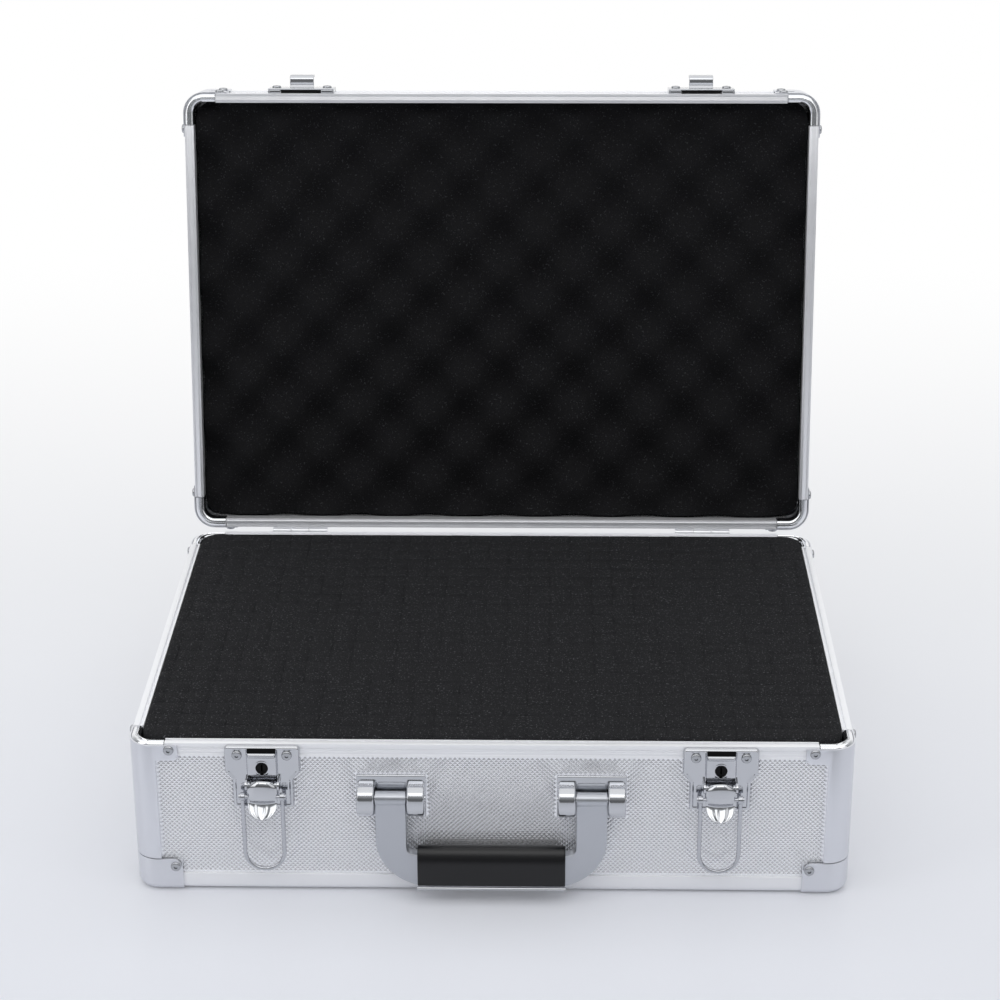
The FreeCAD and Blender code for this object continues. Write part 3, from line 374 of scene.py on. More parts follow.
def foam_block(lines_x, lines_y, half, low, top, edge):
    """A foam block with a shaped top: top(x, y) is its height, and its upper edge is rounded."""
    bends, tiny = 5, 1e-9
    inner = [side - edge for side in half]
    x, y, out_x, out_y = rounded_plan(lines_x, lines_y, inner, FOAM_CORNER - edge)
    columns, rows = x.shape
    points = list(np.stack([x.ravel(), y.ravel(), top(x, y).ravel()], 1))
    faces = []
    for i in range(columns - 1):
        for j in range(rows - 1):
            faces.append((i * rows + j, (i + 1) * rows + j, (i + 1) * rows + j + 1, i * rows + j + 1))
    loop = border(columns, rows)
    last = [i * rows + j for i, j in loop]
    turns = [math.radians(90 * step / bends) for step in range(1, bends + 1)]
    rings = [(edge * math.sin(turn), edge * (1 - math.cos(turn))) for turn in turns] + [(edge, None)]
    for reach, drop in rings:
        start = len(points)
        for i, j in loop:
            direction = np.array([out_x[i, j], out_y[i, j]])
            direction = direction / max(np.linalg.norm(direction), tiny)
            level = low if drop is None else points[i * rows + j][2] - drop
            points.append(np.array([x[i, j] + reach * direction[0], y[i, j] + reach * direction[1], level]))
        ring = list(range(start, len(points)))
        for number, index in enumerate(ring):
            after = (number + 1) % len(ring)
            faces.append((last[number], index, ring[after], last[after]))
        last = ring
    faces.append(tuple(last[::-1]))
    return points, faces


def slit_lines(half, pitch, width):
    """Grid lines that give each slit two banks and a floor."""
    count = int(half / pitch) + 1
    stops = []
    for number in range(-count, count + 1):
        middle = (number + 0.5) * pitch
        stops += [middle - width, middle, middle + width, middle + pitch / 2]
    return foam_lines(half, stops)


def base_foam_top(level, pitch, depth):
    """The base foam's top: blocks between slits, each set a little high or low."""
    count, unevenness, least_gape, on_slit = 64, 0.05, 0.25, 0.05
    chance = np.random.default_rng(SEED)
    lift = chance.normal(0, unevenness, (count, count))
    gape = chance.uniform(least_gape, 1.0, (count, count))

    def top(x, y):
        column, row = (np.floor(at / pitch + 0.5).astype(int) + count // 2 for at in (x, y))
        to_slit_x, to_slit_y = (np.abs(((at / pitch) % 1) - 0.5) * pitch for at in (x, y))
        near_slit = np.minimum(to_slit_x, to_slit_y) < on_slit
        return level + lift[column, row] - np.where(near_slit, depth * gape[column, row], 0)

    return top


def add_foam(name, form, body, node, place=None):
    """A soft piece in place of a CAD node."""
    piece = add_piece(name, *form, body, "foam", place, sharp=60)
    stand_in(node, piece)


def add_foams():
    """The slit block in the base, the pad below it, and the egg-crate sheet in the lid."""
    block_low, block_top, block_edge = 18.2, 108.6, 3
    pitch, slit_width, slit_depth = 14.5, 0.25, 0.4
    inner = [side - block_edge for side in FOAM_HALF]
    lines = [slit_lines(side, pitch, slit_width) for side in inner]
    top = base_foam_top(block_top, pitch, slit_depth)
    form = foam_block(*lines, FOAM_HALF, block_low, top, block_edge)
    add_foam("base_foam_plucked", form, "base", "base_foam")

    pad_low, pad_top, small_edge, pad_lines = 6.2, 18.1, 1.0, 13
    lines = [foam_lines(side, np.linspace(-side, side, pad_lines)) for side in inner]
    form = foam_block(*lines, FOAM_HALF, pad_low, lambda x, y: np.full_like(x, pad_top), small_edge)
    add_foam("base_foam_sheet", form, "base", "base_foam_pad")

    crate_low, crate_middle, relief, period, lines_each = -36.8, -13.5, 6.5, 53, 18

    def crate(x, y):
        wave_x, wave_y = (np.cos(2 * math.pi * at / period) for at in (x, y))
        return crate_middle - relief * wave_x * wave_y

    inner = [side - small_edge for side in FOAM_HALF]
    lines = [foam_lines(side, np.arange(-90, 91) * period / lines_each) for side in inner]
    form = foam_block(*lines, FOAM_HALF, crate_low, crate, small_edge)
    place = LID_SWING @ moved(0, 0, PARTING) @ turned(180, "X")
    add_foam("lid_foam_crate", form, "lid", "lid_foam", place)


add_foams()


# Embossed panels


def emboss(name, body, place, half_width, half_height, bare=()):
    """Low four-sided points in staggered rows, over a panel in the local XY plane."""
    pitch = 3.0
    height = 0.45
    reach = 0.46 * pitch
    columns = np.arange(-math.ceil(half_width / pitch), math.ceil(half_width / pitch) + 1) * pitch
    rows = np.arange(-math.ceil(half_height / pitch), math.ceil(half_height / pitch) + 1) * pitch
    straight = np.stack(np.meshgrid(columns, rows, indexing="ij"), -1).reshape(-1, 2)
    spots = np.concatenate([straight, straight + pitch / 2])
    inside = (np.abs(spots[:, 0]) < half_width - reach) & (np.abs(spots[:, 1]) < half_height - reach)
    for low_x, high_x, low_y, high_y in bare:
        over_x = (spots[:, 0] > low_x) & (spots[:, 0] < high_x)
        over_y = (spots[:, 1] > low_y) & (spots[:, 1] < high_y)
        inside &= ~(over_x & over_y)
    spots = spots[inside]
    shape = np.array([(0, 0, height), (reach, 0, 0), (0, reach, 0), (-reach, 0, 0), (0, -reach, 0)])
    points = (np.concatenate([spots, np.zeros((len(spots), 1))], 1)[:, None, :] + shape).reshape(-1, 3)
    first = len(shape) * np.arange(len(spots))[:, None]
    sides = np.array([(0, 1, 2), (0, 2, 3), (0, 3, 4), (0, 4, 1)])
    faces = (first[:, :, None] + sides).reshape(-1, 3).tolist()
    add_piece(name, points, faces, body, "embossed_panel", place, smooth=False)


def add_embossing():
    """Embossing on every panel but the bottom, left out behind the brackets, latches and hooks."""
    upright = turned(90, "X")
    # For each body: the middle and half height of its walls' panels
    bodies = (("base", 55.5, 42.5, None), ("lid", PARTING + 19.5, 10.5, LID_SWING))
    # For each side: its turn from the front, its distance from the middle, and its half width
    walls = (
        ("front", 0, 156.8, 208.7), ("right", 90, 223.8, 141.7),
        ("back", 180, 156.8, 208.7), ("left", 270, 223.8, 141.7),
    )
    # Bare parts of the front, on both hands: body, middle, half width, low and high
    bare_parts = (
        ("base", BRACKET_X, 22.5, 54.7, 86.3),
        ("base", LATCH_X, 19.8, 62.4, 107),
        ("base", LATCH_X, 24.2, 87, 107),
        ("lid", LATCH_X, 24.4, 107, 130.4),
    )
    top_level, top_half_width, top_half_depth = 148.1, 212.5, 145.5
    for body, middle, half, swing in bodies:
        front_bare = []
        for owner, centre, reach, low, high in bare_parts:
            if owner == body:
                for across in (-centre, centre):
                    front_bare.append((across - reach, across + reach, low - middle, high - middle))
        for side, angle, reach, width in walls:
            place = turned(angle, "Z") @ moved(0, -reach, middle) @ upright
            if swing is not None:
                place = swing @ place
            bare = front_bare if side == "front" else ()
            emboss(f"{body}_{side}_embossing", body, place, width, half, bare)
    place = LID_SWING @ moved(0, 0, top_level)
    emboss("lid_top_embossing", "lid", place, top_half_width, top_half_depth)


add_embossing()


# Rim corners


def rim_corner_section():
    """Inset from the outside and depth from the parting face: two beads with a groove between them."""
    outer, groove_end, width, depth = 2.6, 4.0, 6.4, 9
    groove_depth, groove_steps = 0.8, 8
    turns = [math.radians(15 * step) for step in range(7)]
    section = [(0, depth)]
    section += [(outer * (1 - math.cos(turn)), outer * (1 - math.sin(turn))) for turn in turns]
    for step in range(1, groove_steps):
        inset = outer + (groove_end - outer) * step / groove_steps
        section.append((inset, groove_depth * math.sin(math.pi * step / groove_steps)))
    inner = width - groove_end
    section += [(groove_end + inner * math.sin(turn), inner * (1 - math.cos(turn))) for turn in turns]
    return section + [(width, depth)]


def rim_corner(sign_x, sign_y, level, direction):
    """A pressed rim corner: the section carried along one arm, round the bend and along the other arm."""
    radius, arm, steps = 14, 21.9, 16
    half = CASE_HALF
    centre = [side - radius for side in half]
    path = [((half[0] - arm, half[1]), (0, 1))]
    for step in range(steps + 1):
        turn = math.radians(90 - 90 * step / steps)
        out = (math.cos(turn), math.sin(turn))
        path.append(((centre[0] + radius * out[0], centre[1] + radius * out[1]), out))
    path.append(((half[0], half[1] - arm), (1, 0)))
    section = rim_corner_section()
    count = len(section)
    points, faces = [], []
    for (x, y), out in path:
        for inset, depth in section:
            at = (x - inset * out[0], y - inset * out[1])
            points.append((sign_x * at[0], sign_y * at[1], level + direction * depth))
    for station in range(len(path) - 1):
        for n in range(count):
            after = (n + 1) % count
            here, there = station * count, (station + 1) * count
            faces.append((here + n, here + after, there + after, there + n))
    faces += [tuple(range(count)), tuple(range(len(points) - count, len(points)))[::-1]]
    return points, faces


def add_rim_corners():
    corners = [(x, y) for x in (-1, 1) for y in (-1, 1)]
    for body, level, direction, place in SHELLS:
        points, faces = joined([rim_corner(x, y, level, direction) for x, y in corners])
        piece = add_piece(f"{body}_rim_bends", points, faces, body, "rim_corner", place, sharp=50)
        stand_in(f"{body}_rim_corners", piece)


add_rim_corners()


# Latches


def rounded_least(first, second, radius):
    """The distance to the nearer of two edges, with the corner between them rounded."""
    short_first, short_second = np.maximum(radius - first, 0), np.maximum(radius - second, 0)
    return np.where((short_first > 0) & (short_second > 0), radius - np.hypot(short_first, short_second),
                    np.minimum(first, second))


def eased(amount):
    """Zero to one, with a soft start and end."""
    amount = np.clip(amount, 0, 1)
    return amount * amount * (3 - 2 * amount)


def plate_edge(across, height):
    """How far a point of the latch plate is from its outline, positive inside."""
    waist, shoulder = 82.7, 88.7
    narrow, wide, slant = 19.0, 23.4, 0.8
    foot, foot_round = 63.2, 1.5
    top, top_round = 106.2, 2.5
    half = np.interp(height, [waist, shoulder], [narrow, wide])
    lean = np.where((height > waist) & (height < shoulder), slant, 1.0)
    side = (half - np.abs(across)) * lean
    return rounded_least(rounded_least(side, top - height, top_round), height - foot, foot_round)


def key_edge(across, height):
    """How far a point is from the keyhole, positive outside it."""
    radius, slot_half, slot_foot = 3.9, 1.1, 87.0
    round_hole = np.hypot(across, height - KEY_HEIGHT) - radius
    slot = np.maximum(np.abs(across) - slot_half, np.maximum(height - KEY_HEIGHT, slot_foot - height))
    return np.minimum(round_hole, slot)


def slot_edge(across, height):
    """How far a point is from the slot near the plate's top, positive outside it."""
    middle, half_width, half_height = 104.0, 8.9, 1.3
    return np.maximum(np.abs(across) - half_width, np.abs(height - middle) - half_height)


def plate_stand(across, height):
    """How far the pressed plate stands out: border, channel, lip, key ring and a pocket behind the lever."""
    plain, curl = 2.5, 1.3
    edge = plate_edge(across, height)
    stand = plain - curl + np.sqrt(np.maximum(curl ** 2 - np.maximum(curl - edge, 0) ** 2, 0))

    border_rise, border_end, border_fall = 0.35, 1.7, 0.9
    stand += border_rise * eased(edge) * (1 - eased((edge - border_end) / border_fall))

    channel_half, channel_foot, channel_top, channel_round = 9.7, 86.3, 105.2, 1.2
    channel_rise, channel_wall = 2.5, 1.1
    upright = np.minimum(channel_top - height, height - channel_foot)
    channel = rounded_least(channel_half - np.abs(across), upright, channel_round)
    stand += channel_rise * eased(channel / channel_wall)

    lip_middle, lip_radius, lip_rise, lip_half, lip_end = 101.1, 1.35, 0.8, 8.6, 0.8
    lip = np.maximum(lip_radius ** 2 - (height - lip_middle) ** 2, 0) ** 0.5
    stand += lip_rise * lip * eased((lip_half - np.abs(across)) / lip_end)

    pocket_half, pocket_foot, pocket_top, pocket_depth, pocket_wall = 9.0, 80, 85.9, 1.5, 0.5
    upright = np.minimum(height - pocket_foot, pocket_top - height)
    pocket = np.minimum(pocket_half - np.abs(across), upright)
    stand -= pocket_depth * eased(pocket / pocket_wall)

    ring_radius, ring_rise, ring_width = 4.6, 0.3, 0.5
    off_ring = np.hypot(across, height - KEY_HEIGHT) - ring_radius
    return stand + ring_rise * np.exp(-(off_ring / ring_width) ** 2)


def fold_back(form):
    """Carry a pressed plate's open edges straight back to the front of the case."""
    loose = [point for point in form.verts if not point.link_faces]
    bmesh.ops.delete(form, geom=loose, context="VERTS")
    rim = [line for line in form.edges if line.is_boundary]
    for part in bmesh.ops.extrude_edge_only(form, edges=rim)["geom"]:
        if isinstance(part, bmesh.types.BMVert):
            part.co.y = FRONT * MM


def add_latch_plate(side, sign):
    """A pressed plate from a fine grid, with the points past its edges drawn in to them."""
    step, small = 0.35, 0.02
    span_across, span_height = (-24.5, 24.51), (62, 107.4)
    across, height = np.meshgrid(np.arange(*span_across, step), np.arange(*span_height, step), indexing="ij")

    def edge(u, z):
        return np.minimum(np.minimum(plate_edge(u, z), key_edge(u, z)), slot_edge(u, z))

    distance = edge(across, height)
    slope_u = (edge(across + small, height) - edge(across - small, height)) / (2 * small)
    slope_z = (edge(across, height + small) - edge(across, height - small)) / (2 * small)
    drawn_in = np.where(distance < 0, -distance, 0)
    snapped_u, snapped_z = across + drawn_in * slope_u, height + drawn_in * slope_z
    points = np.stack([sign * LATCH_X + snapped_u, FRONT - plate_stand(snapped_u, snapped_z), snapped_z], -1)
    rows = across.shape[1]
    kept = distance > -step
    whole = kept[:-1, :-1] & kept[1:, :-1] & kept[1:, 1:] & kept[:-1, 1:]
    some = distance > 0
    whole &= some[:-1, :-1] | some[1:, :-1] | some[1:, 1:] | some[:-1, 1:]
    first = np.argwhere(whole) @ np.array([rows, 1])
    faces = np.stack([first, first + rows, first + rows + 1, first + 1], 1).tolist()
    node = f"{side}_latch_plate"
    piece = add_piece(f"{side}_latch_pressing", points.reshape(-1, 3), faces, "base", SLOT_OF[node])
    rework(piece.data, fold_back)
    shade(piece.data, smooth=True, sharp=40)
    stand_in(node, piece)


def add_latch_details(side, sign):
    """Two ears that hold the lever's pin, and a black sheet behind the plate's slot: painted shade for the
    hollow inside the plate.
    """
    middle = sign * LATCH_X
    root, pivot_y, pivot_z, radius = -160.0, -164.2, 81, 3.4
    sheet, ear_starts = 1.2, (-10.6, 9.4)
    ear = [(root, pivot_z - radius)]
    for turn in range(-90, 91, 15):
        angle = math.radians(turn)
        ear.append((pivot_y - radius * math.cos(angle), pivot_z + radius * math.sin(angle)))
    ear.append((root, pivot_z + radius))
    ears = joined([slab(ear, middle + start, middle + start + sheet) for start in ear_starts])
    add_piece(f"{side}_latch_ears", *ears, "base", SLOT_OF[f"{side}_latch_plate"], sharp=30)
    # Painted shade: a black sheet behind the slot, where the hollow plate is only dark inside.
    half, depths, heights = 9.3, (-160.3, -159.8), (102.2, 105.8)
    dark = block((middle - half, middle + half), depths, heights)
    add_piece(f"{side}_latch_slot_shade", *dark, "base", "key_plug", smooth=False)


def add_lever(side, sign):
    """A pressed lever: a domed head over the pivot, a kink, and a fluted tab to pull."""
    rows = [
        # height, front, half width, fall to the sides, flute depth, arch
        (85.6, -167.5, 6.9, 2.1, 0, 2.2), (85.1, -168.3, 7.1, 2.3, 0, 2.1), (84.2, -168.9, 7.5, 2.4, 0, 1.9),
        (83.3, -169.3, 7.8, 2.5, 0, 1.8), (82.4, -169.6, 8.1, 2.6, 0, 1.6),
        (81.0, -169.8, 8.5, 2.7, 0, 1.3), (79.2, -170.0, 8.8, 2.8, 0, 0.9), (77.4, -170.15, 9.0, 2.9, 0, 0.5),
        (75.4, -170.2, 9.1, 2.9, 0, 0.2), (73.6, -170.0, 9.1, 2.8, 0, 0), (72.2, -169.5, 9.1, 2.6, 0, 0),
        (71.1, -168.7, 9.0, 2.3, 0.05, 0), (70.3, -167.9, 9.0, 1.9, 0.2, 0), (69.6, -167.6, 9.0, 1.6, 0.4, 0),
        (68.8, -168.0, 9.0, 1.5, 0.6, 0), (67.4, -169.1, 8.9, 1.4, 0.8, 0), (65.8, -170.4, 8.4, 1.2, 0.8, 0),
        (64.2, -171.7, 7.4, 1.0, 0.7, 0), (62.9, -172.7, 5.8, 0.7, 0.5, 0), (62.0, -173.3, 3.8, 0.4, 0.3, 0),
        (61.6, -173.5, 1.8, 0.2, 0.1, 0),
    ]
    columns, groove_pitch, thickness = 41, 0.62, 0.9
    points, faces = [], []
    for height, front, half, fall, flute, arch in rows:
        for column in range(columns):
            across = 2 * column / (columns - 1) - 1
            ridge = flute * (0.5 + 0.5 * math.cos(2 * math.pi * across / groove_pitch))
            depth = front + fall * across ** 2 + ridge
            points.append((sign * LATCH_X + half * across, depth, height - arch * across ** 2))
    for row in range(len(rows) - 1):
        for column in range(columns - 1):
            at = row * columns + column
            faces.append((at, at + columns, at + columns + 1, at + 1))
    node, body = f"{side}_latch_lever", f"{side}_lever"
    piece = add_piece(f"{side}_lever_pressing", points, faces, body, SLOT_OF[node])
    sheet = piece.modifiers.new("sheet", "SOLIDIFY")
    sheet.thickness = thickness * MM
    sheet.offset = -1
    sheet.use_even_offset = True
    shade(apply_modifiers(piece), smooth=True, sharp=50)
    stand_in(node, piece)
    flange_faces = (8.95, 7.75)
    # The flange's outline in Y and Z
    flange = [
        (-166.6, 81.8), (-167.2, 79.4), (-167.4, 72.0), (-166.9, 69.8), (-164.0, 69.8),
        (-164.0, 74.2), (-162.2, 80.6), (-162.6, 82.6), (-164.2, 83.4), (-165.6, 83.0),
    ]
    for hand, name in ((-1, "inner"), (1, "outer")):
        ends = sorted(sign * (LATCH_X + hand * reach) for reach in flange_faces)
        add_piece(f"{side}_lever_{name}_flange", *slab(flange, *ends), body, SLOT_OF[node], sharp=30)


def short_tube(middle, radii, ends):
    """A short tube about an X axis."""
    count = 28
    points, faces = [], []
    for radius in radii:
        for x in ends:
            for n in range(count):
                turn = 2 * math.pi * n / count
                points.append((x, middle[0] + radius * math.cos(turn), middle[1] + radius * math.sin(turn)))
    for first, second in ((0, 1), (1, 3), (3, 2), (2, 0)):
        for n in range(count):
            after = (n + 1) % count
            here, there = first * count, second * count
            faces.append((here + n, here + after, there + after, there + n))
    return points, faces


def add_bail(side, sign):
    """A wire loop with an eye at each end, hanging from its pin on the lever."""
    pin_y, pin_z, half, wire_radius, bottom = -166.6, 74.2, 12.3, 1.3, 22.2
    eye_drop, eye_half, eye_radii, eye_rounding = 1.9, 1.4, (1.3, 2.6), 0.25
    steps = 32
    middle = sign * LATCH_X
    path = [(middle - half, pin_y, pin_z - eye_drop)]
    for step in range(steps + 1):
        turn = math.radians(180 + 180 * step / steps)
        path.append((middle + half * math.cos(turn), pin_y, bottom + half + half * math.sin(turn)))
    path.append((middle + half, pin_y, pin_z - eye_drop))
    node, body = f"{side}_latch_bail", f"{side}_bail"
    loop = wire(f"{side}_bail_loop", path, wire_radius, body, SLOT_OF[node])
    stand_in(node, loop)
    eyes = []
    for hand in (-1, 1):
        ends = (middle + hand * half - eye_half, middle + hand * half + eye_half)
        eyes.append(short_tube((pin_y, pin_z), eye_radii, ends))
    piece = add_piece(f"{side}_bail_eyes", *joined(eyes), body, SLOT_OF[node], sharp=50)
    round_edges(piece, eye_rounding, limit=50, segments=2)


def hook_forms(middle):
    """A hook on the lid: a hollow plate with a mouth below, and a rolled tab for the bail."""
    low, high, face, back, sheet = 109.3, 129.3, -161.5, FRONT, 1
    half, mouth, tab_half = 23.4, 14.3, 8.5
    forms = [
        block((middle - half, middle + half), (face, face + sheet), (low, high)),
        block((middle - half, middle + half), (face + sheet, back), (high - sheet, high)),
    ]
    for hand in (-1, 1):
        wall = sorted(middle + hand * reach for reach in (half - sheet, half))
        forms.append(block(wall, (face + sheet, back), (low, high - sheet)))
        foot = sorted(middle + hand * reach for reach in (mouth, half - sheet))
        forms.append(block(foot, (face + sheet, back), (low, low + sheet)))
    # The tab's outline in Y and Z: its underside, its roll, and its upper side
    roll_y, roll_z, roll_radius = -167.2, 121.8, 3.1
    outline = [
        (-161.2, 118.0), (-161.8, 118.1), (-162.4, 118.5), (-162.8, 119.0), (-163.3, 119.2),
        (-163.9, 119.1), (-164.4, 118.8), (-165.0, 118.6), (-166.0, 118.5), (-167.2, 118.7),
    ]
    for turn in range(10, 91, 10):
        angle = math.radians(turn)
        outline.append((roll_y - roll_radius * math.sin(angle), roll_z - roll_radius * math.cos(angle)))
    outline += [(-170.3, 128.0), (-168.3, 128.0), (-168.3, 120.4), (-161.2, 120.4)]
    forms.append(slab(outline, middle - tab_half, middle + tab_half))
    return forms


def add_hooks():
    """The two hooks, and a black sheet low in the mouth of each: painted shade, where the hollow hooks are
    only dark inside.
    """
    forms = hook_forms(-LATCH_X) + hook_forms(LATCH_X)
    piece = add_piece("lid_hook_pressings", *joined(forms), "lid", "plated_hardware", LID_SWING, sharp=35)
    round_edges(piece, 0.45, limit=40)
    stand_in("lid_hooks", piece)
    # Painted shade: black sheets low in the mouth of each hook, where there is only shade inside the hollow
    # plate.
    half, depths, heights = 14.2, (-160.4, -158.1), (110.6, 111.1)
    mouth_shades = [block((middle - half, middle + half), depths, heights) for middle in (-LATCH_X, LATCH_X)]
    add_piece("lid_hook_mouth_shade", *joined(mouth_shades), "lid", "key_plug", LID_SWING, smooth=False)


for side, sign in (("left", -1), ("right", 1)):
    add_latch_plate(side, sign)
    add_latch_details(side, sign)
    add_lever(side, sign)
    add_bail(side, sign)
add_hooks()


# Grip and handle brackets


def add_grip_strip():
    """A bright strip under the grip."""
    half, depth, height, radius = 46.5, -172.6, 12.2, 1.1
    ends = [(x, depth, height) for x in (-half, half)]
    wire("grip_strip", ends, radius, "handle", "plated_hardware")


def oval_quarter(middle, reach, rise, power, steps=14):
    """Points from the side of an oval to its top, in Y and Z."""
    points = []
    for step in range(steps + 1):
        turn = math.radians(90 * step / steps)
        along, up = math.cos(turn) ** (2 / power), math.sin(turn) ** (2 / power)
        points.append((middle[0] + reach * along, middle[1] + rise * up))
    return points


def add_grip():
    """A sleeve over the bar: a flat front below, and a deep round shoulder above it."""
    half, rounding = 46.3, 0.7
    front, back, ridge = -172.3, -159.7, -165
    low, shoulder, back_shoulder, top = 13.5, 27.3, 33.5, 38.5
    bar_front, bar_back, bar_top = -169.6, -162.4, 34.6
    front_power, back_power = 1.75, 2
    outline = [(front, low)]
    outline += oval_quarter((ridge, shoulder), front - ridge, top - shoulder, front_power)
    back_curve = oval_quarter((ridge, back_shoulder), back - ridge, top - back_shoulder, back_power)
    outline += back_curve[-2::-1]
    outline += [(back, low), (bar_back, low), (bar_back, bar_top), (bar_front, bar_top), (bar_front, low)]
    piece = add_piece("grip_sleeve", *slab(outline, -half, half), "handle", "grip")
    round_edges(piece, rounding)
    stand_in("handle_grip", piece)


def add_brackets():
    """A plate for each arm, with two full round ears."""
    plate_front, plate_back, plate_low, plate_top = -158.8, -156.8, 55.5, 85.5
    half, ear_inner, ear_margin, ear_sunk = 21.65, 10, 0.5, 0.4
    ear_middle, ear_rise, ear_front, ear_power = 70.4, 11.2, -171.4, 2.3
    plate_rounding, ear_rounding = 0.9, 1.8
    root = (plate_front, ear_middle)
    upper = oval_quarter(root, ear_front - plate_front, ear_rise, ear_power)
    lower = oval_quarter(root, ear_front - plate_front, -ear_rise, ear_power)
    ear_back = plate_back - ear_sunk
    ear = lower[::-1] + upper[1:]
    ear += [(ear_back, ear_middle + ear_rise), (ear_back, ear_middle - ear_rise)]
    plates, ears = [], []
    for middle in (-BRACKET_X, BRACKET_X):
        span = (middle - half, middle + half)
        plates.append(block(span, (plate_front, plate_back), (plate_low, plate_top)))
        for low, high in ((-half + ear_margin, -ear_inner), (ear_inner, half - ear_margin)):
            ears.append(slab(ear, middle + low, middle + high))
    piece = add_piece("bracket_plates", *joined(plates), "base", "plated_hardware")
    round_edges(piece, plate_rounding)
    stand_in("handle_brackets", piece)
    piece = add_piece("bracket_ears", *joined(ears), "base", "plated_hardware")
    round_edges(piece, ear_rounding, limit=50, segments=5)


add_grip_strip()
add_grip()
add_brackets()


# Materials


def node_tree(material):
    material.use_nodes = True
    tree = material.node_tree
    tree.nodes.clear()
    output = tree.nodes.new("ShaderNodeOutputMaterial")
    shader = tree.nodes.new("ShaderNodeBsdfPrincipled")
    tree.links.new(shader.outputs["BSDF"], output.inputs["Surface"])
    return tree, shader


def joint(tree, operation, first, second):
    """Two values of a node tree worked into one."""
    node = tree.nodes.new("ShaderNodeMath")
    node.operation = operation
    tree.links.new(first, node.inputs[0])
    tree.links.new(second, node.inputs[1])
    return node.outputs["Value"]


def grain(tree, scale, detail=3):
    """Noise over the object's own coordinates, in features per metre."""
    place = tree.nodes.new("ShaderNodeTexCoord")
    noise = tree.nodes.new("ShaderNodeTexNoise")
    noise.inputs["Scale"].default_value = scale
    noise.inputs["Detail"].default_value = detail
    tree.links.new(place.outputs["Object"], noise.inputs["Vector"])
    return noise.outputs["Fac"]


def spread(tree, source, low, high):
    """Map noise about its middle to a range of values."""
    ramp = tree.nodes.new("ShaderNodeMapRange")
    ramp.inputs["From Min"].default_value = 0.3
    ramp.inputs["From Max"].default_value = 0.7
    ramp.inputs["To Min"].default_value = low
    ramp.inputs["To Max"].default_value = high
    tree.links.new(source, ramp.inputs["Value"])
    return ramp.outputs["Result"]


def bumps(tree, shader, source, strength, distance):
    bump = tree.nodes.new("ShaderNodeBump")
    bump.inputs["Strength"].default_value = strength
    bump.inputs["Distance"].default_value = distance
    tree.links.new(source, bump.inputs["Height"])
    tree.links.new(bump.outputs["Normal"], shader.inputs["Normal"])


def metal(name, colour, roughness, shine=1.0):
    """A metal whose roughness drifts a little. Less shine makes it paler and more matt."""
    drift_scale, scatter = 120, 0.03
    material = bpy.data.materials.new(name)
    tree, shader = node_tree(material)
    shader.inputs["Base Color"].default_value = (*colour, 1)
    shader.inputs["Metallic"].default_value = shine
    drift = spread(tree, grain(tree, drift_scale), roughness - scatter, roughness + scatter)
    tree.links.new(drift, shader.inputs["Roughness"])
    return material


def plastic(name, colour, roughness, gloss, grain_scale, bump, distance):
    material = bpy.data.materials.new(name)
    tree, shader = node_tree(material)
    shader.inputs["Base Color"].default_value = (*colour, 1)
    shader.inputs["Roughness"].default_value = roughness
    shader.inputs["Specular IOR Level"].default_value = gloss
    bumps(tree, shader, grain(tree, grain_scale), bump, distance)
    return material


def foam_material(name, dark, light):
    """Open-cell foam: near black, with fine pits and a few cells that catch the light."""
    cell_scale, speck_scale, cell_share = 1500, 800, 0.26
    pit_strength, pit_depth = 0.7, 0.0006
    material = bpy.data.materials.new(name)
    tree, shader = node_tree(material)
    cells = grain(tree, cell_scale, detail=4)
    specks = spread(tree, grain(tree, speck_scale, detail=1), 0, 1)
    bright = tree.nodes.new("ShaderNodeMath")
    bright.operation = "GREATER_THAN"
    bright.inputs[1].default_value = 0.93
    tree.links.new(specks, bright.inputs[0])
    amount = joint(tree, "ADD", bright.outputs["Value"], spread(tree, cells, 0, cell_share))
    colour = tree.nodes.new("ShaderNodeMix")
    colour.data_type = "RGBA"
    colour.inputs["A"].default_value = (*dark, 1)
    colour.inputs["B"].default_value = (*light, 1)
    tree.links.new(amount, colour.inputs["Factor"])
    tree.links.new(colour.outputs["Result"], shader.inputs["Base Color"])
    shader.inputs["Roughness"].default_value = 0.95
    shader.inputs["Specular IOR Level"].default_value = 0.15
    bumps(tree, shader, cells, pit_strength, pit_depth)
    return material


MATERIALS = {
    "embossed_panel": metal("embossed_panel", (0.95, 0.955, 0.98), 0.24, shine=0.75),
    "extrusion": metal("extrusion", (0.95, 0.955, 0.98), 0.34, shine=0.25),
    "corner_post": metal("corner_post", (0.75, 0.76, 0.80), 0.34, shine=0.9),
    "rim_corner": metal("rim_corner", (0.86, 0.87, 0.89), 0.14),
    "ball_corner": metal("ball_corner", (0.75, 0.76, 0.80), 0.32, shine=0.9),
    "rivet": metal("rivet", (0.45, 0.46, 0.48), 0.22),
    "plated_hardware": metal("plated_hardware", (0.58, 0.59, 0.615), 0.10),
    "latch_bail": metal("latch_bail", (0.52, 0.53, 0.56), 0.16),
    "hinge": metal("hinge", (0.78, 0.79, 0.81), 0.33),
    "handle_frame": metal("handle_frame", (0.50, 0.515, 0.55), 0.32, shine=0.9),
    "grip": plastic("grip", (0.006, 0.006, 0.007), 0.26, 0.40, 2500, 0.25, 0.0002),
    "key_plug": plastic("key_plug", (0.004, 0.004, 0.0045), 0.5, 0.15, 2000, 0.1, 0.0001),
    "foam": foam_material("foam", (0.007, 0.0072, 0.0082), (0.085, 0.086, 0.092)),
}
# Painted shade: the lid's foam is the same black foam as the base's, given a darker copy of the material
# because it lies in more shade.
SHADED_LID_FOAM = foam_material("lid_foam", (0.0042, 0.0043, 0.0048), (0.030, 0.030, 0.0325))
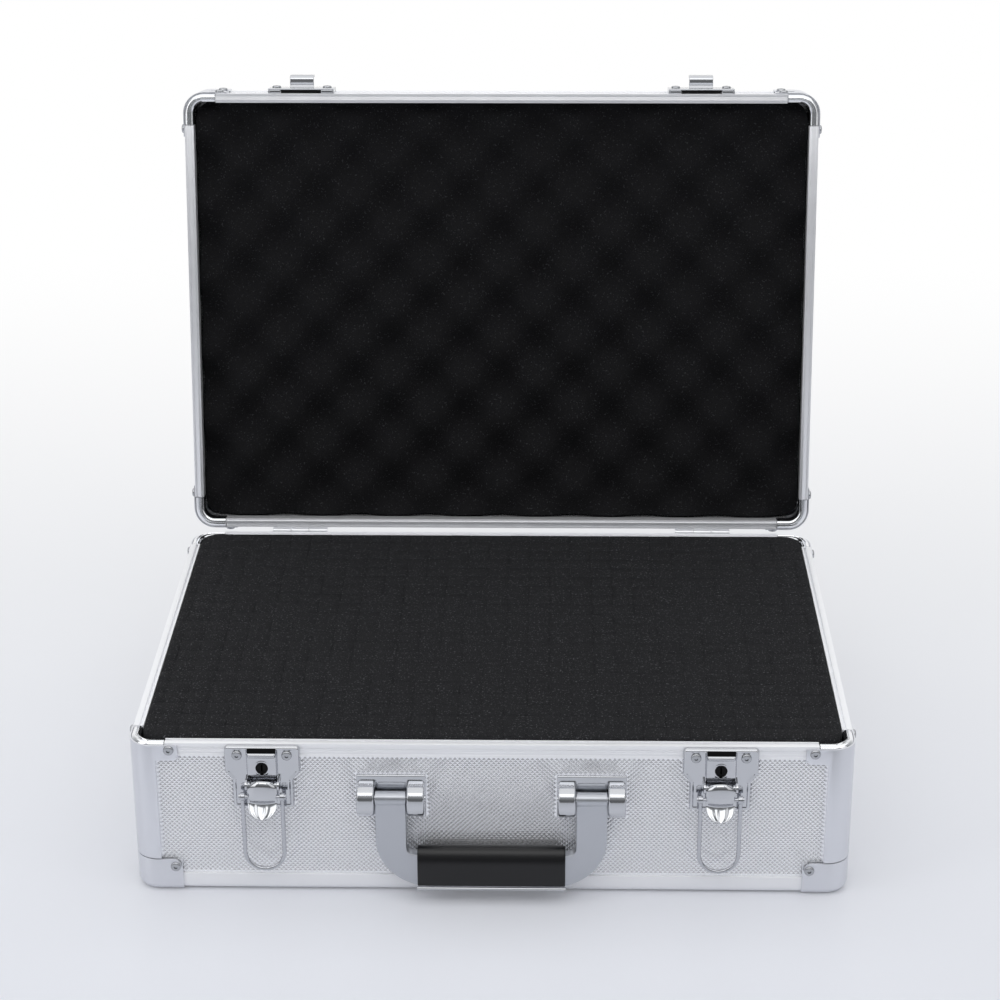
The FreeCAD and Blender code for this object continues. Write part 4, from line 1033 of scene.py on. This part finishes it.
# Painted shade: the lid's rims are the same extrusion as the base's, given a darker and more metallic copy of
# its metal.
SHADED_LID_RIM = metal("shaded_lid_rim", (0.92, 0.925, 0.95), 0.34, shine=0.65)
SPECIAL = {"lid_foam_crate": SHADED_LID_FOAM}
for side in SIDES:
    SPECIAL[f"lid_{side}_rim_rounded"] = SHADED_LID_RIM
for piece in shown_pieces():
    slot = piece.get("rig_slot") or SLOT_OF[piece["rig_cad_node"]]
    piece.data.materials.clear()
    piece.data.materials.append(SPECIAL.get(piece.name, MATERIALS[slot]))


# Studio


def smooth_step(tree, source, start, end):
    """Zero to one as a value goes from start to end, with a soft start and end."""
    ramp = tree.nodes.new("ShaderNodeMapRange")
    ramp.interpolation_type = "SMOOTHSTEP"
    ramp.inputs["From Min"].default_value = start
    ramp.inputs["From Max"].default_value = end
    tree.links.new(source, ramp.inputs["Value"])
    return ramp.outputs["Result"]


def seen_rays(tree):
    """One for rays that see the background: the camera's, and those through gloss and clear things."""
    path = tree.nodes.new("ShaderNodeLightPath")
    total = path.outputs["Is Camera Ray"]
    for kind in ("Is Glossy Ray", "Is Transmission Ray"):
        total = joint(tree, "MAXIMUM", total, path.outputs[kind])
    return total


def add_floor():
    """A pale sweep that turns to plain white behind the case, and far off all round it for the camera."""
    left, right, near, end = -6, 6, -4, 8
    fade_start, fade_end = -0.45, 1.15
    far_start, far_end = 0.7, 2.0
    mesh = bpy.data.meshes.new("floor")
    corners = [(left, near, 0), (right, near, 0), (right, end, 0), (left, end, 0)]
    mesh.from_pydata(corners, [], [(0, 1, 2, 3)])
    floor = new_object("floor", mesh)
    material = bpy.data.materials.new("floor")
    tree, shader = node_tree(material)
    shader.inputs["Base Color"].default_value = (0.80, 0.815, 0.87, 1)
    shader.inputs["Roughness"].default_value = 0.35
    shader.inputs["Specular IOR Level"].default_value = 0.25
    place = tree.nodes.new("ShaderNodeTexCoord")
    parts = tree.nodes.new("ShaderNodeSeparateXYZ")
    tree.links.new(place.outputs["Object"], parts.inputs["Vector"])
    fade = smooth_step(tree, parts.outputs["Y"], fade_start, fade_end)
    distance = tree.nodes.new("ShaderNodeVectorMath")
    distance.operation = "LENGTH"
    tree.links.new(place.outputs["Object"], distance.inputs[0])
    far = smooth_step(tree, distance.outputs["Value"], far_start, far_end)
    path = tree.nodes.new("ShaderNodeLightPath")
    behind = joint(tree, "MULTIPLY", fade, seen_rays(tree))
    around = joint(tree, "MULTIPLY", far, path.outputs["Is Camera Ray"])
    white = tree.nodes.new("ShaderNodeEmission")
    white.inputs["Color"].default_value = (1, 1, 1, 1)
    white.inputs["Strength"].default_value = 1.0
    mix = tree.nodes.new("ShaderNodeMixShader")
    tree.links.new(joint(tree, "MAXIMUM", behind, around), mix.inputs["Fac"])
    tree.links.new(shader.outputs["BSDF"], mix.inputs[1])
    tree.links.new(white.outputs["Emission"], mix.inputs[2])
    output = next(entry for entry in tree.nodes if entry.type == "OUTPUT_MATERIAL")
    tree.links.new(mix.outputs["Shader"], output.inputs["Surface"])
    mesh.materials.append(material)


def add_sky():
    """White for the camera, and behind the case for gloss too. In front and at the sides, a dim room."""
    room_turn, white_turn = (-0.3, 0.5), (0.4, 0.85)
    world = bpy.data.worlds.new("studio")
    bpy.context.scene.world = world
    world.use_nodes = True
    tree = world.node_tree
    tree.nodes.clear()
    output = tree.nodes.new("ShaderNodeOutputWorld")
    place = tree.nodes.new("ShaderNodeTexCoord")
    parts = tree.nodes.new("ShaderNodeSeparateXYZ")
    tree.links.new(place.outputs["Generated"], parts.inputs["Vector"])

    def by_height(levels):
        """Brightness by height. A new curve has two points, so the two ends come first."""
        ramp = tree.nodes.new("ShaderNodeFloatCurve")
        curve = ramp.mapping.curves[0]
        for number, (height, level) in enumerate(levels):
            if number < 2:
                curve.points[number].location = (height, level)
            else:
                curve.points.new(height, level)
        ramp.mapping.update()
        tree.links.new(parts.outputs["Z"], ramp.inputs["Value"])
        return ramp.outputs["Value"]

    front = by_height([(0, 0.30), (1, 0.30), (0.10, 0.17), (0.30, 0.20), (0.50, 0.38), (0.75, 0.40)])
    back = by_height([(0, 0.50), (1, 0.30), (0.50, 0.48)])
    blend = tree.nodes.new("ShaderNodeMix")
    blend.data_type = "FLOAT"
    tree.links.new(smooth_step(tree, parts.outputs["Y"], *room_turn), blend.inputs["Factor"])
    tree.links.new(front, blend.inputs["A"])
    tree.links.new(back, blend.inputs["B"])
    room = tree.nodes.new("ShaderNodeBackground")
    room.inputs["Color"].default_value = (0.96, 0.98, 1.0, 1)
    tree.links.new(blend.outputs["Result"], room.inputs["Strength"])
    white = tree.nodes.new("ShaderNodeBackground")
    white.inputs["Color"].default_value = (1, 1, 1, 1)
    path = tree.nodes.new("ShaderNodeLightPath")
    mix = tree.nodes.new("ShaderNodeMixShader")
    behind = joint(tree, "MULTIPLY", seen_rays(tree), smooth_step(tree, parts.outputs["Y"], *white_turn))
    tree.links.new(joint(tree, "MAXIMUM", path.outputs["Is Camera Ray"], behind), mix.inputs["Fac"])
    tree.links.new(room.outputs["Background"], mix.inputs[1])
    tree.links.new(white.outputs["Background"], mix.inputs[2])
    tree.links.new(mix.outputs["Shader"], output.inputs["Surface"])


def add_light(name, at, towards, size, power):
    light = bpy.data.lights.new(name, "AREA")
    light.shape = "RECTANGLE"
    light.size, light.size_y = size
    light.energy = power
    lamp = new_object(name, light)
    lamp.location = at
    lamp.rotation_mode = "QUATERNION"
    lamp.rotation_quaternion = (Vector(towards) - Vector(at)).to_track_quat("-Z", "Y")


def add_camera():
    """The photograph's viewpoint, from a fit to the case's edges."""
    viewpoint = (0.03363, -1.48026, 0.8552)
    pitch, yaw, roll = (math.radians(angle) for angle in (23.782, -1.193, -0.228))
    forward = Vector((math.sin(yaw) * math.cos(pitch), math.cos(yaw) * math.cos(pitch), -math.sin(pitch)))
    level = Vector((math.cos(yaw), -math.sin(yaw), 0))
    upward = level.cross(forward)
    right = math.cos(roll) * level + math.sin(roll) * upward
    up = -math.sin(roll) * level + math.cos(roll) * upward
    data = bpy.data.cameras.new("camera")
    data.sensor_width = 36
    data.lens = 88.18
    data.clip_end = 50
    camera = new_object("camera", data)
    turn = Matrix((right, up, -forward)).transposed().to_4x4()
    camera.matrix_world = moved(*viewpoint) @ turn
    bpy.context.scene.camera = camera


LAMPS = (
    # name, place, what it points at, size, power in watts
    ("overhead", (0, -0.1, 1.7), (0, -0.05, 0), (3.4, 2.4), 21),
    ("front", (0, -1.5, 1.7), (0, 0, 0.1), (2.2, 0.8), 7.5),
    ("left_side", (-1.7, -0.9, 1.0), (0, 0, 0.1), (1.0, 1.4), 5.5),
    ("right_side", (1.7, -0.9, 1.0), (0, 0, 0.1), (1.0, 1.4), 3),
)
add_floor()
add_sky()
for lamp in LAMPS:
    add_light(*lamp)
add_camera()
bpy.context.scene.view_settings.view_transform = "Standard"
